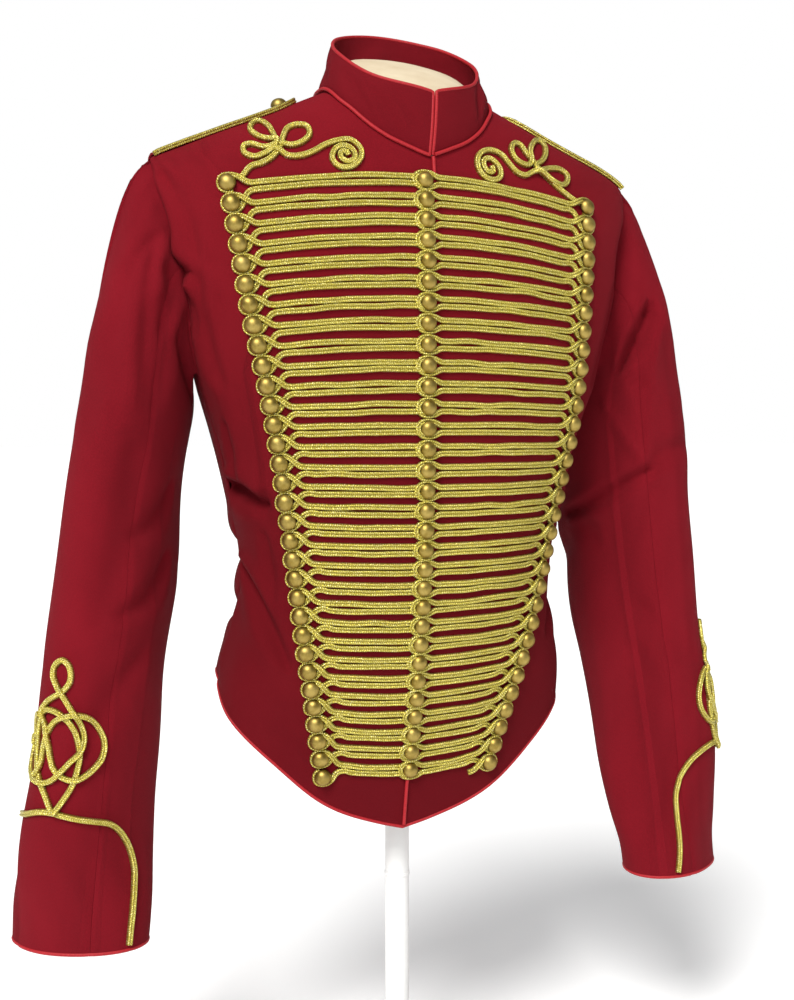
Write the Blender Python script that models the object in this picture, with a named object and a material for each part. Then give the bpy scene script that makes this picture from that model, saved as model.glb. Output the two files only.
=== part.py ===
"""Dress tunic with braided front, on a limbless dress form that stands on a pole and a round base.

Metres, +Z up, the front faces -Y and the wearer's left arm is on +X.  The origin is the centre of
the base plate's underside.  Run with: blender --background --python part.py
"""
import math

import bmesh
import bpy
import numpy as np

# ---------------------------------------------------------------- driving dimensions
CLOTH = 0.0018              # thickness of the cotton twill
SEAM_GAP = 0.0003           # air left between pieces that are sewn together
ROWS = 31                   # rows of braid on the chest
BUTTON_HEIGHT = 0.0078      # from the cloth to the top of a domed button
RIM_RADIUS = 0.0085         # corner of a button's eight-sided foot
BRAID_HALF = 0.0058         # one strand of the flat gold braid; a row has two side by side
BRAID_HEIGHT = 0.0024
BRAID_LIFT = 0.00085        # from the cloth to the braid's underside
PIPING_RADIUS = 0.0016
NECK_HALF = 0.080           # half the width of the neck opening at the shoulder seams
NECK_CORNER = 2.4           # how square the neckline is in plan; 2 is an ellipse
SHOULDER_HALF = 0.221       # from the middle to the tip of the shoulder
SHOULDER_TIP = 0.840        # height of the tip of the shoulder
SHOULDER_SLOPE = 0.44       # rise of the shoulder seam towards the neck
NECK_FRONT = 0.836          # height of the neck seam at the middle of the front
NECK_BACK = 0.922
ARMPIT = 0.655
BASE_RADIUS = 0.165
BASE_HEIGHT = 0.012
POLE_RADIUS = 0.011


def table(names, rows):
    """Named columns from a short list of rows."""
    return {name: np.array(column, float) for name, column in zip(names.split(), zip(*rows))}


def smooth(across, values, at):
    """A cubic through a table's rows, level past its ends."""
    slopes = np.gradient(values, across)
    at = np.clip(at, across[0], across[-1])
    k = int(np.clip(np.searchsorted(across, at) - 1, 0, len(across) - 2))
    gap = across[k + 1] - across[k]
    t = (at - across[k]) / gap
    start = (1 + 2 * t) * (1 - t) ** 2 * values[k] + t * (1 - t) ** 2 * gap * slopes[k]
    end = t * t * (3 - 2 * t) * values[k + 1] + t * t * (t - 1) * gap * slopes[k + 1]
    return start + end


# Horizontal sections of the body: front and back are the distances of the cloth at the middle
# from the plane x-z, side is how far behind that plane the section is widest.
BODY = table(
    "height half_width front back side front_corner back_corner", [
        (0.240, 0.170, 0.042, 0.098, 0.020, 2.3, 2.4),
        (0.309, 0.168, 0.047, 0.102, 0.020, 2.3, 2.4),
        (0.391, 0.162, 0.065, 0.104, 0.020, 2.5, 2.4),
        (0.473, 0.143, 0.078, 0.094, 0.018, 2.9, 2.4),
        (0.557, 0.156, 0.086, 0.098, 0.018, 3.0, 2.5),
        (0.645, 0.182, 0.089, 0.110, 0.018, 3.0, 2.6),
        (0.700, 0.196, 0.088, 0.114, 0.016, 3.0, 2.6),
        (0.760, 0.207, 0.088, 0.114, 0.012, 3.0, 2.6),
        (0.820, 0.217, 0.088, 0.112, 0.008, 3.0, 2.6),
        (0.960, 0.222, 0.088, 0.112, 0.008, 3.0, 2.6),
    ])
ROLL = {-1: (0.700, 2.4), 1: (0.690, 2.3)}     # where front and back start to roll to the shoulder

# The cloth's edge at the armhole, as a share of the way round to the side line.
ARMHOLE = table("height front back", [
    (0.655, 1.000, 1.000),
    (0.672, 0.905, 0.915),
    (0.700, 0.850, 0.880),
    (0.740, 0.845, 0.880),
    (0.780, 0.880, 0.900),
    (0.815, 0.940, 0.945),
    (0.840, 1.000, 1.000),
])

# The hem's height by the share of the way round, from the middle of the front to the middle of
# the back (2), and the middle line of the closed front.
HEM = table("round height", [
    (0.00, 0.258), (0.12, 0.264), (0.42, 0.288), (0.65, 0.325), (0.85, 0.360), (1.00, 0.388),
    (1.30, 0.392), (1.70, 0.380), (2.00, 0.374),
])
OPENING = table("height side_step", [
    (0.240, -0.012), (0.420, -0.004), (0.640, 0.000), (0.836, 0.002),
])

# Rows of braid: the height at the middle, how far round the wearer's right and left outer buttons
# are, and how much higher than the middle each row ends.
BRAID_ROWS = table("row height right left rise", [
    (1, 0.8188, 0.1705, 0.1590, -0.012),
    (6, 0.7334, 0.1613, 0.1550, -0.009),
    (11, 0.6452, 0.1443, 0.1480, -0.004),
    (16, 0.5569, 0.1300, 0.1370, 0.003),
    (21, 0.4733, 0.1180, 0.1220, 0.005),
    (26, 0.3912, 0.1035, 0.0990, 0.007),
    (31, 0.3090, 0.0884, 0.0760, 0.010),
    (32, 0.2925, 0.0855, 0.0720, 0.010),
])


def arc_share(half_width, depth, corner, share):
    """The point a share of the way along a quarter of a superellipse, from x = 0."""
    angle = np.linspace(0, math.pi / 2, 91)
    x = half_width * np.sin(angle) ** (2 / corner)
    y = depth * np.cos(angle) ** (2 / corner)
    run = np.concatenate([[0], np.cumsum(np.hypot(np.diff(x), np.diff(y)))])
    at = share * run[-1]
    return np.interp(at, run, x), np.interp(at, run, y), run[-1]


def ridge(x):
    """Height of the shoulder line above a point of the x axis."""
    return SHOULDER_TIP + SHOULDER_SLOPE * (SHOULDER_HALF - abs(x))


def section(face, height):
    half_width = smooth(BODY["height"], BODY["half_width"], height)
    side = smooth(BODY["height"], BODY["side"], height)
    name = "front" if face < 0 else "back"
    reach = smooth(BODY["height"], BODY[name], height)
    corner = smooth(BODY["height"], BODY[name + "_corner"], height)
    depth = reach + side if face < 0 else reach - side
    return half_width, depth, side, corner


def quarter_length(face, height):
    half_width, depth, _, corner = section(face, height)
    return arc_share(half_width, depth, corner, 1.0)[2]


def bare_body(face, run, height):
    """A point of the smooth body; run is the signed distance round from the middle."""
    half_width, depth, side, corner = section(face, height)
    length = arc_share(half_width, depth, corner, 1.0)[2]
    x, y, _ = arc_share(half_width, depth, corner, min(abs(run) / length, 1.0))
    start, bend = ROLL[face]
    climb = max(height - start, 0.0) / (ridge(x) - start)
    y *= max(1 - min(climb, 1.0) ** bend, 0.0) ** (1 / bend)
    return np.array([math.copysign(x, run), side + face * y, height])


def over_edge(face, run, height):
    """The body's surface, carried on past the side line as its mirror image."""
    length = quarter_length(face, height)
    if abs(run) <= length:
        return bare_body(face, run, height)
    point = bare_body(face, math.copysign(2 * length - abs(run), run), height)
    side = smooth(BODY["height"], BODY["side"], height)
    point[1] = 2 * side - point[1]
    return point


def body_normal(face, run, height):
    """Outward normal of the body; on the shoulder line it has no fore and aft part."""
    step = 0.0004
    across = over_edge(face, run + step, height) - over_edge(face, run - step, height)
    up = bare_body(face, run, height) - bare_body(face, run, height - step)
    normal = np.cross(across, up) * -face
    if abs(bare_body(face, run, height)[1] - section(face, height)[2]) < 1e-5:
        if height > ARMPIT:
            normal = np.array([math.copysign(SHOULDER_SLOPE, run), 0.0, 1.0])
    return normal / np.linalg.norm(normal)


# Large folds of the body: from and to are (distance round, height) on one face, depth is inward.
BODY_FOLDS = table("face run_a height_a run_b height_b width depth", [
    (-1, -0.190, 0.508, -0.152, 0.488, 0.016, 0.006),
    (-1, -0.195, 0.452, -0.135, 0.385, 0.014, 0.005),
    (-1, 0.190, 0.500, 0.155, 0.480, 0.016, 0.005),
    (-1, 0.195, 0.455, 0.150, 0.400, 0.014, 0.004),
    (1, -0.170, 0.500, -0.060, 0.478, 0.018, 0.006),
    (1, 0.165, 0.515, 0.050, 0.495, 0.018, 0.006),
    (1, -0.150, 0.455, -0.040, 0.460, 0.016, 0.005),
    (1, -0.165, 0.640, -0.110, 0.560, 0.018, 0.005),
    (1, 0.165, 0.640, 0.110, 0.560, 0.018, 0.005),
])


def trough(at, start, end, width, depth):
    """How far a soft trough between two points lowers the cloth at a third."""
    line = end - start
    share = float(np.clip(np.dot(at - start, line) / np.dot(line, line), 0, 1))
    away = np.linalg.norm(at - start - share * line) / width
    return depth * math.exp(-away * away)


def body_fold(face, run, height):
    at = np.array([run, height])
    total = 0.0
    for k in range(len(BODY_FOLDS["face"])):
        if BODY_FOLDS["face"][k] == face:
            start = np.array([BODY_FOLDS["run_a"][k], BODY_FOLDS["height_a"][k]])
            end = np.array([BODY_FOLDS["run_b"][k], BODY_FOLDS["height_b"][k]])
            total -= trough(at, start, end, BODY_FOLDS["width"][k], BODY_FOLDS["depth"][k])
    return total


def body_point(face, run, height, lift=0.0):
    normal = body_normal(face, run, height)
    return bare_body(face, run, height) + normal * (body_fold(face, run, height) + lift)


def edge_run(face, height):
    """Distance from the middle to the side seam or, above the armpit, to the armhole's edge."""
    share = smooth(ARMHOLE["height"], ARMHOLE["front" if face < 0 else "back"], height)
    return share * quarter_length(face, height)


def neck_height(face, run_at):
    """Height at which a column meets the neckline; run_at gives its distance round."""
    middle = NECK_FRONT if face < 0 else NECK_BACK
    reach = abs(bare_body(face, 0.0, middle)[1] - section(face, middle)[2])
    low, high = ROLL[face][0], ridge(0.0)
    for _ in range(30):
        height = (low + high) / 2
        x, y, _ = bare_body(face, run_at(height), height)
        inside = max(1 - (abs(x) / NECK_HALF) ** NECK_CORNER, 0.0)
        if abs(y - section(face, height)[2]) > reach * inside ** (1 / NECK_CORNER):
            low = height
        else:
            high = height
    return low


NECK_SHARES = [0.0, 0.40, 0.72, 0.92, 1.0]      # columns from the middle to the neck's corner
NECK_SPANS = len(NECK_SHARES) - 1
SIDE_SHARES = [0.17, 0.34, 0.50, 0.66, 0.83, 1.0]       # columns from there to the edge
SIDE_LEVELS = 8             # rows of faces from the hem to the armpit
CHEST_LEVELS = 2            # from the armpit to where the chest rolls back
ROLL_LEVELS = 6             # from there to the neck and the shoulder
TOP = SIDE_LEVELS + CHEST_LEVELS + ROLL_LEVELS


def opening_run(height):
    return smooth(OPENING["height"], OPENING["side_step"], height)


def run_of(face, x, height):
    """The distance round at which the body reaches x."""
    low, high = 0.0, quarter_length(face, height)
    for _ in range(30):
        middle = (low + high) / 2
        if bare_body(face, middle, height)[0] < x:
            low = middle
        else:
            high = middle
    return low


class Grid:
    """Points of a cloth piece in rows and columns, and places on its facets."""

    def blend(self, points, i, j, t, s):
        """Inside one of the two triangles between rows i, i + 1 and columns j, j + 1."""
        n = (j + 1) % points.shape[1]
        near, far = points[i, j], points[i + 1, n]
        if s >= t:
            return (1 - s) * near + (s - t) * points[i, n] + t * far
        return (1 - t) * near + (t - s) * points[i + 1, j] + s * far

    def on_facet(self, cell, true_point, lift):
        """A point over the facets, moved out; where the true curve bulges over them it is used."""
        normal = self.blend(self.normal, *cell)
        normal /= np.linalg.norm(normal)
        away = true_point - self.blend(self.bare, *cell)
        bulge = float(np.dot(away, normal))
        flat = away - bulge * normal
        return self.blend(self.outer, *cell) + flat + normal * (max(bulge, 0.0) + lift)


class Panel(Grid):
    """A front or back panel: points on the body, from the middle out and from the hem up."""

    def __init__(self, face, hand):
        self.face, self.hand = face, hand
        corner = ridge(NECK_HALF)
        start, edge = self.ends(corner)
        neck = (hand * run_of(face, NECK_HALF, corner) - start) / (edge - start)
        self.shares = [neck * share for share in NECK_SHARES]
        self.shares += [neck + (1 - neck) * share for share in SIDE_SHARES]
        size = (TOP + 1, len(self.shares))
        self.heights = np.zeros(size)
        self.outer = np.zeros(size + (3,))
        self.bare = np.zeros(size + (3,))
        self.normal = np.zeros(size + (3,))
        for j, share in enumerate(self.shares):
            for i, height in enumerate(self.column_heights(share)):
                run = self.run_at(share, height)
                self.heights[i, j] = height
                self.outer[i, j] = body_point(face, run, height)
                self.bare[i, j] = bare_body(face, run, height)
                self.normal[i, j] = body_normal(face, run, height)
                if i == TOP and j >= NECK_SPANS:
                    self.outer[i, j, 1] += face * SEAM_GAP * 0.6
        self.normal[:, 0, 0] = 0.0
        self.normal[:, 0] /= np.linalg.norm(self.normal[:, 0], axis=1, keepdims=True)
        self.inner = self.outer - self.normal * CLOTH

    def ends(self, height):
        """Signed distance round of the panel's middle edge and of its outer edge."""
        middle = opening_run(height) if self.face < 0 else 0.0
        return middle + self.hand * SEAM_GAP / 2, self.hand * (edge_run(self.face, height) - SEAM_GAP / 2)

    def run_at(self, share, height):
        start, edge = self.ends(height)
        return start + share * (edge - start)

    def column_heights(self, share):
        """Heights of the points of one column, from the hem to the neck or shoulder seam."""
        start, bend = ROLL[self.face]
        round_share = share if self.face < 0 else 2 - share
        hem = smooth(HEM["round"], HEM["height"], round_share)
        if share < self.shares[NECK_SPANS] - 1e-6:
            top = neck_height(self.face, lambda height: self.run_at(share, height))
            x = bare_body(self.face, self.run_at(share, top), top)[0]
        else:
            top = SHOULDER_TIP
            for _ in range(25):
                x = bare_body(self.face, self.run_at(share, top), top)[0]
                top = ridge(x)
        climb = min((top - start) / (ridge(x) - start), 1.0)
        last = math.asin(climb ** (bend / 2))
        turns = [last * k / ROLL_LEVELS for k in range(1, ROLL_LEVELS + 1)]
        low = list(np.linspace(hem, ARMPIT, SIDE_LEVELS + 1))
        chest = list(np.linspace(ARMPIT, start, CHEST_LEVELS + 1))[1:]
        roll = [start + (ridge(x) - start) * math.sin(turn) ** (2 / bend) for turn in turns]
        return low + chest + roll

    def place(self, run, height, lift):
        start, edge = self.ends(height)
        share = float(np.clip((run - start) / (edge - start), 0, 1))
        j = int(np.clip(np.searchsorted(self.shares, share) - 1, 0, len(self.shares) - 2))
        s = (share - self.shares[j]) / (self.shares[j + 1] - self.shares[j])
        line = (1 - s) * self.heights[:, j] + s * self.heights[:, j + 1]
        i = int(np.clip(np.searchsorted(line, height) - 1, 0, len(line) - 2))
        t = float(np.clip((height - line[i]) / (line[i + 1] - line[i]), 0, 1))
        return self.on_facet((i, j, t, s), bare_body(self.face, run, height), lift)


def front_place(right, left):
    """Places on the closed front, whichever side of the opening they lie on."""
    def place(run, height, lift):
        panel = left if run > opening_run(height) else right
        return panel.place(run, height, lift)
    return place


# ==== meshes
def material(name, colour, roughness, metallic=0.0):
    found = bpy.data.materials.get(name)
    if found:
        return found
    made = bpy.data.materials.new(name)
    made.use_nodes = True
    shader = made.node_tree.nodes["Principled BSDF"]
    shader.inputs["Base Color"].default_value = (*colour, 1)
    shader.inputs["Roughness"].default_value = roughness
    shader.inputs["Metallic"].default_value = metallic
    return made


def add_object(name, points, faces, finish, smooth_angle=50):
    mesh = bpy.data.meshes.new(name)
    mesh.from_pydata([tuple(float(v) for v in p) for p in points], [], faces)
    mesh.validate()
    mesh.materials.append(finish)
    shell = bmesh.new()
    shell.from_mesh(mesh)
    bmesh.ops.recalc_face_normals(shell, faces=shell.faces)
    if shell.calc_volume(signed=True) < 0:
        bmesh.ops.reverse_faces(shell, faces=shell.faces)
    shell.to_mesh(mesh)
    shell.free()
    mesh.shade_smooth()
    mesh.set_sharp_from_angle(angle=math.radians(smooth_angle))
    made = bpy.data.objects.new(name, mesh)
    bpy.context.scene.collection.objects.link(made)
    return made


def wall(name, outer, inner, finish, closed=False):
    """A cloth wall between two grids of points; closed joins the last column to the first."""
    rows, columns = outer.shape[:2]
    points = list(outer.reshape(-1, 3)) + list(inner.reshape(-1, 3))
    half = rows * columns
    faces = []
    spans = columns if closed else columns - 1
    for i in range(rows - 1):
        for j in range(spans):
            n = (j + 1) % columns
            a, b = i * columns + j, i * columns + n
            c, d = (i + 1) * columns + n, (i + 1) * columns + j
            faces += [(a, b, c), (a, c, d), (half + c, half + b, half + a), (half + d, half + c, half + a)]
    for j in range(spans):
        n = (j + 1) % columns
        top = (rows - 1) * columns
        faces += [(n, j, half + j, half + n), (top + j, top + n, half + top + n, half + top + j)]
    if not closed:
        for i in range(rows - 1):
            for a, d in ((i * columns, (i + 1) * columns), ((i + 1) * columns - 1, (i + 2) * columns - 1)):
                faces += [(a, d, half + d), (a, half + d, half + a)]
    return add_object(name, points, faces, finish)


def tube(name, path, radius, finish, sides=4, closed=False):
    """A round cord along a list of points."""
    path = np.array(path)
    count = len(path)
    points, faces = [], []
    guide = np.array([0.0, 0.0, 1.0])
    for i in range(count):
        ahead = path[(i + 1) % count] if closed or i < count - 1 else path[i]
        behind = path[i - 1] if closed or i > 0 else path[i]
        along = (ahead - behind) / np.linalg.norm(ahead - behind)
        side = guide - along * np.dot(guide, along)
        if np.linalg.norm(side) < 0.2:
            side = np.array([0.0, 1.0, 0.0]) - along * along[1]
        side /= np.linalg.norm(side)
        if not closed:
            guide = side
        other = np.cross(along, side)
        for k in range(sides):
            turn = 2 * math.pi * k / sides
            points.append(path[i] + radius * (math.cos(turn) * side + math.sin(turn) * other))
    spans = count if closed else count - 1
    for i in range(spans):
        n = (i + 1) % count
        for k in range(sides):
            m = (k + 1) % sides
            faces.append((i * sides + k, i * sides + m, n * sides + m, n * sides + k))
    if not closed:
        faces.append(tuple(range(sides - 1, -1, -1)))
        faces.append(tuple((count - 1) * sides + k for k in range(sides)))
    return add_object(name, points, faces, finish)


# ---------------------------------------------------------------- finishes
def finishes():
    return {
        "twill": material("crimson_twill", (0.36, 0.006, 0.022), 0.8),
        "piping": material("coral_piping", (0.72, 0.03, 0.035), 0.6),
        "gold": material("gold_braid", (0.66, 0.45, 0.10), 0.42, 0.7),
        "brass": material("antique_brass", (0.50, 0.36, 0.11), 0.38, 0.9),
        "form": material("dress_form_beige", (0.62, 0.52, 0.36), 0.85),
        "stand": material("stand_white_enamel", (0.80, 0.79, 0.77), 0.45),
    }


# ---------------------------------------------------------------- sleeves
# Level sections of a hanging sleeve: middle of the section, its longer and shorter half, and how far
# the longer one is turned from straight outward towards the front.
SLEEVE = table("height x y long_half short_half turn", [
    (0.182, 0.288, -0.003, 0.059, 0.040, -30),
    (0.205, 0.286, -0.002, 0.059, 0.039, -25),
    (0.240, 0.282, 0.000, 0.057, 0.040, -5),
    (0.295, 0.276, 0.005, 0.058, 0.041, 24),
    (0.380, 0.266, 0.012, 0.061, 0.042, 38),
    (0.464, 0.254, 0.019, 0.065, 0.043, 45),
    (0.550, 0.243, 0.018, 0.067, 0.041, 48),
    (0.615, 0.233, 0.015, 0.068, 0.041, 50),
])
SLEEVE_TOP = 0.615          # below this height the sections are level
CUFF_END = 0.182
CAP_STEPS = 5
SLEEVE_STEPS = 11
FRONT_SEAM, BACK_SEAM = 5, 11       # columns where upper and under sleeve are sewn together

# Creases of the sleeves: angle is degrees from straight outward towards the front.
SLEEVE_FOLDS = table("hand angle_a height_a angle_b height_b width depth", [
    (1, 60, 0.590, 75, 0.520, 0.014, 0.006),
    (1, 130, 0.585, 75, 0.520, 0.014, 0.007),
    (1, 150, 0.480, 75, 0.520, 0.014, 0.006),
    (1, 240, 0.530, 300, 0.500, 0.016, 0.006),
    (1, 250, 0.440, 320, 0.455, 0.016, 0.005),
    (-1, 95, 0.600, 110, 0.520, 0.014, 0.005),
    (-1, 70, 0.610, 60, 0.470, 0.014, 0.005),
    (-1, 150, 0.490, 90, 0.455, 0.016, 0.005),
    (-1, 240, 0.530, 300, 0.500, 0.016, 0.006),
    (-1, 250, 0.440, 320, 0.455, 0.016, 0.005),
])


def sleeve_fold(hand, angle, height):
    total = 0.0
    reach = 0.052
    for k in range(len(SLEEVE_FOLDS["hand"])):
        if SLEEVE_FOLDS["hand"][k] == hand:
            spread = math.radians(1) * reach
            turn = (angle - SLEEVE_FOLDS["angle_a"][k] + 180) % 360 - 180
            start = np.array([0.0, SLEEVE_FOLDS["height_a"][k]])
            span = (SLEEVE_FOLDS["angle_b"][k] - SLEEVE_FOLDS["angle_a"][k]) * spread
            end = np.array([span, SLEEVE_FOLDS["height_b"][k]])
            at = np.array([turn * spread, height])
            total -= trough(at, start, end, SLEEVE_FOLDS["width"][k], SLEEVE_FOLDS["depth"][k])
    return total


def sleeve_reach(angle, height):
    """Distance from the middle of the section to the cloth."""
    turn = math.radians(angle - smooth(SLEEVE["height"], SLEEVE["turn"], height))
    long_half = smooth(SLEEVE["height"], SLEEVE["long_half"], height)
    short_half = smooth(SLEEVE["height"], SLEEVE["short_half"], height)
    return 1 / math.hypot(math.cos(turn) / long_half, math.sin(turn) / short_half)


def sleeve_point(hand, angle, height, lift=0.0, folded=True):
    x = smooth(SLEEVE["height"], SLEEVE["x"], height)
    y = smooth(SLEEVE["height"], SLEEVE["y"], height)
    step = 0.5
    reach = sleeve_reach(angle, height)
    slope = (sleeve_reach(angle + step, height) - sleeve_reach(angle - step, height))
    slope /= 2 * math.radians(step) * reach
    tilt = math.radians(angle) - math.atan(slope)
    turn = math.radians(angle)
    out = lift + (sleeve_fold(hand, angle, height) if folded else 0.0)
    return np.array([
        hand * (x + reach * math.cos(turn) + out * math.cos(tilt)),
        y - reach * math.sin(turn) - out * math.sin(tilt),
        height,
    ])


def armhole_loop(front, back):
    """Edge points of an armhole, from the shoulder's tip down the front and up the back, each with
    the direction in which the sleeve's wall has its thickness."""
    stops = [(front, i) for i in range(TOP, SIDE_LEVELS - 1, -1)]
    stops += [(back, i) for i in range(SIDE_LEVELS + 1, TOP)]
    loop = []
    for panel, i in stops:
        edge, normal = panel.outer[i, -1], panel.normal[i, -1]
        away = edge - panel.outer[i, -2]
        away /= np.linalg.norm(away)
        if i == SIDE_LEVELS:
            away = normal
        rise = max(0.0, 1 - (i - SIDE_LEVELS) / 2.5)
        inward = -normal * (1 - rise) + np.array([0, 0, rise])
        start = edge + (away + normal * rise) * SEAM_GAP * 1.6
        loop.append((start, inward / np.linalg.norm(inward)))
    return loop


def bezier(a, b, c, d, t):
    return a * (1 - t) ** 3 + 3 * b * t * (1 - t) ** 2 + 3 * c * t * t * (1 - t) + d * t ** 3


class Sleeve(Grid):
    """A sleeve: rows from the armhole to the cuff, columns round it."""

    def __init__(self, hand, front, back):
        self.hand = hand
        loop = armhole_loop(front, back)
        starts = np.array([start for start, _ in loop])
        lengths = np.linalg.norm(np.roll(starts, -1, axis=0) - starts, axis=1)
        self.angles = np.concatenate([[0], np.cumsum(lengths)[:-1]]) / lengths.sum() * 360
        levels = np.linspace(SLEEVE_TOP, CUFF_END, SLEEVE_STEPS + 1)
        size = (CAP_STEPS + SLEEVE_STEPS + 1, len(loop), 3)
        self.outer, self.inner, self.bare = np.zeros(size), np.zeros(size), np.zeros(size)
        for j, (angle, (start, inward)) in enumerate(zip(self.angles, loop)):
            out = np.array([hand * 0.82, -0.22 * math.sin(math.radians(angle)), -0.58])
            for grid, lift, first in ((self.outer, 0.0, start), (self.inner, -CLOTH, start + inward * CLOTH)):
                low = sleeve_point(hand, angle, SLEEVE_TOP, lift)
                lower = sleeve_point(hand, angle, SLEEVE_TOP - 0.01, lift)
                handle = np.linalg.norm(low - first) * 0.34
                drop = (low - lower) / np.linalg.norm(low - lower)
                for i in range(CAP_STEPS + 1):
                    grid[i, j] = bezier(first, first + out * handle, low + drop * handle, low, i / CAP_STEPS)
                for i in range(1, SLEEVE_STEPS + 1):
                    grid[CAP_STEPS + i, j] = sleeve_point(hand, angle, levels[i], lift)
            for i in range(SLEEVE_STEPS + 1):
                self.bare[CAP_STEPS + i, j] = sleeve_point(hand, angle, levels[i], folded=False)
        self.normal = (self.outer - self.inner) / CLOTH

    def part(self, grid, first, last):
        """Columns first to last of a grid, its two edges drawn in by half a seam."""
        count = grid.shape[1]
        part = grid[:, [k % count for k in range(first, last + 1)]].copy()
        for edge, beside in ((0, 1), (-1, -2)):
            pull = part[:, beside] - part[:, edge]
            part[:, edge] += pull / np.linalg.norm(pull, axis=1, keepdims=True) * SEAM_GAP * 0.6
        return part

    def place(self, angle, height, lift):
        """A place below the sleeve's cap."""
        count = len(self.angles)
        angle %= 360
        j = int(np.searchsorted(self.angles, angle, side="right") - 1)
        after = self.angles[(j + 1) % count] + (360 if j == count - 1 else 0)
        s = (angle - self.angles[j]) / (after - self.angles[j])
        down = (SLEEVE_TOP - height) / (SLEEVE_TOP - CUFF_END) * SLEEVE_STEPS
        i = int(np.clip(down, 0, SLEEVE_STEPS - 1))
        true_point = sleeve_point(self.hand, angle, height, folded=False)
        return self.on_facet((CAP_STEPS + i, j, down - i, s), true_point, lift)


# ---------------------------------------------------------------- braid and buttons
class Relief:
    """A closed solid that lies on the cloth: braid and domed buttons grown together."""

    def __init__(self, place):
        self.place = place
        self.points, self.faces, self.rims = [], [], {}

    def add(self, run, height, lift):
        self.points.append(self.place(run, height, lift))
        return len(self.points) - 1

    def face(self, *corners):
        self.faces.append(tuple(corners))

    def rim(self, run, height, hand, k):
        """Corner k of a button's foot, made once; corners 0 and 1 are on the side of the middle."""
        key = (k % BUTTON_SIDES, run, height)
        if key not in self.rims:
            turn = 2 * math.pi * (key[0] - 0.5) / BUTTON_SIDES
            self.rims[key] = self.add(run - hand * RIM_RADIUS * math.cos(turn),
                                      height + RIM_RADIUS * math.sin(turn), BRAID_LIFT)
        return self.rims[key]

    def button(self, run, height, hand, joined):
        """A domed button; joined holds, by foot edge, the crests of the strands that end there."""
        rim = [self.rim(run, height, hand, k) for k in range(BUTTON_SIDES)]
        ring = []
        for k in range(BUTTON_SIDES):
            turn = 2 * math.pi * (k - 0.5) / BUTTON_SIDES
            ring.append(self.add(run - hand * DOME_RADIUS * math.cos(turn),
                                 height + DOME_RADIUS * math.sin(turn), DOME_SHOULDER))
        apex = self.add(run, height, BUTTON_HEIGHT)
        for k in range(BUTTON_SIDES):
            n = (k + 1) % BUTTON_SIDES
            self.face(rim[k], *joined.get(k, []), rim[n], ring[n], ring[k])
            self.face(ring[k], ring[n], apex)
        self.face(*reversed(rim))


def row_value(name, row):
    return float(smooth(BRAID_ROWS["row"], BRAID_ROWS[name], row))


def row_reach(hand, row):
    return row_value("left" if hand > 0 else "right", row)


def row_height(hand, row, run):
    return row_value("height", row) + row_value("rise", row) * (run / row_reach(hand, row)) ** 2


CENTRE_BUTTONS = -0.0065    # how far the middle buttons stand to the wearer's right
OUTER_STEP = 0.0055         # height of an outer button over the row whose upper strand it ends
FORK = 0.0235               # from an outer button to where the two strands of a row part
BUTTON_SIDES = 8
DOME_RADIUS = 0.0066        # where the dome turns over to its top
DOME_SHOULDER = 0.0056
BRAID_COLUMNS = (4, 5, 6)           # columns of a front over which a row of braid bends
TOP_OF_BRAID = BRAID_LIFT + BRAID_HEIGHT


def outer_button(hand, row):
    run = hand * row_reach(hand, row)
    return run, row_height(hand, row, run) + OUTER_STEP


def row_bar(relief, panel, row, inner, fork):
    """The two strands of a row side by side; returns their end sections."""
    profile = [(-BRAID_HALF, BRAID_LIFT), (-BRAID_HALF * 0.52, TOP_OF_BRAID), (0.0, BRAID_LIFT + 0.0008),
               (BRAID_HALF * 0.52, TOP_OF_BRAID), (BRAID_HALF, BRAID_LIFT)]
    level = row_value("height", row)
    stops = [panel.run_at(panel.shares[column], level) for column in BRAID_COLUMNS]
    hand = panel.hand
    stops = [run for run in stops if hand * inner + 0.006 < hand * run < hand * fork - 0.006]
    sections = []
    for run in [inner] + stops + [fork]:
        height = row_height(hand, row, run)
        sections.append([relief.add(run, height + step, BRAID_LIFT if run == fork and k == 2 else lift)
                         for k, (step, lift) in enumerate(profile)])
    for a, b in zip(sections, sections[1:]):
        for k in range(4):
            relief.face(a[k], b[k], b[k + 1], a[k + 1])
        underside = [b[4], b[2], b[0]] if b is sections[-1] else [b[4], b[0]]
        relief.face(a[0], a[4], *underside)
    return sections[0], sections[-1]


def middle_loop(relief, row, first):
    """The left front's strands run into the loop round the middle button."""
    run = CENTRE_BUTTONS
    height = row_height(1, row, run)
    at = run + RIM_RADIUS * math.cos(math.pi / BUTTON_SIDES)
    crests = [relief.add(at, height - 0.0019, TOP_OF_BRAID), relief.add(at, height, BRAID_LIFT + 0.0012),
              relief.add(at, height + 0.0019, TOP_OF_BRAID)]
    ends = [relief.rim(run, height, -1, 0), *crests, relief.rim(run, height, -1, 1)]
    for k in range(4):
        relief.face(ends[k], first[k], first[k + 1], ends[k + 1])
    relief.face(ends[0], ends[4], first[4], first[0])
    relief.button(run, height, -1, {0: crests})


def upper_strand(relief, hand, place, last):
    """From the fork to the row's own outer button; returns the crest at its foot."""
    run, height = place
    low, high = relief.rim(run, height, hand, 0), relief.rim(run, height, hand, 1)
    crest = relief.add(run - hand * RIM_RADIUS * math.cos(math.pi / BUTTON_SIDES), height, TOP_OF_BRAID)
    relief.face(last[2], low, crest, last[3])
    relief.face(last[3], crest, high, last[4])
    relief.face(last[2], last[4], high, low)
    return [crest]


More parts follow.
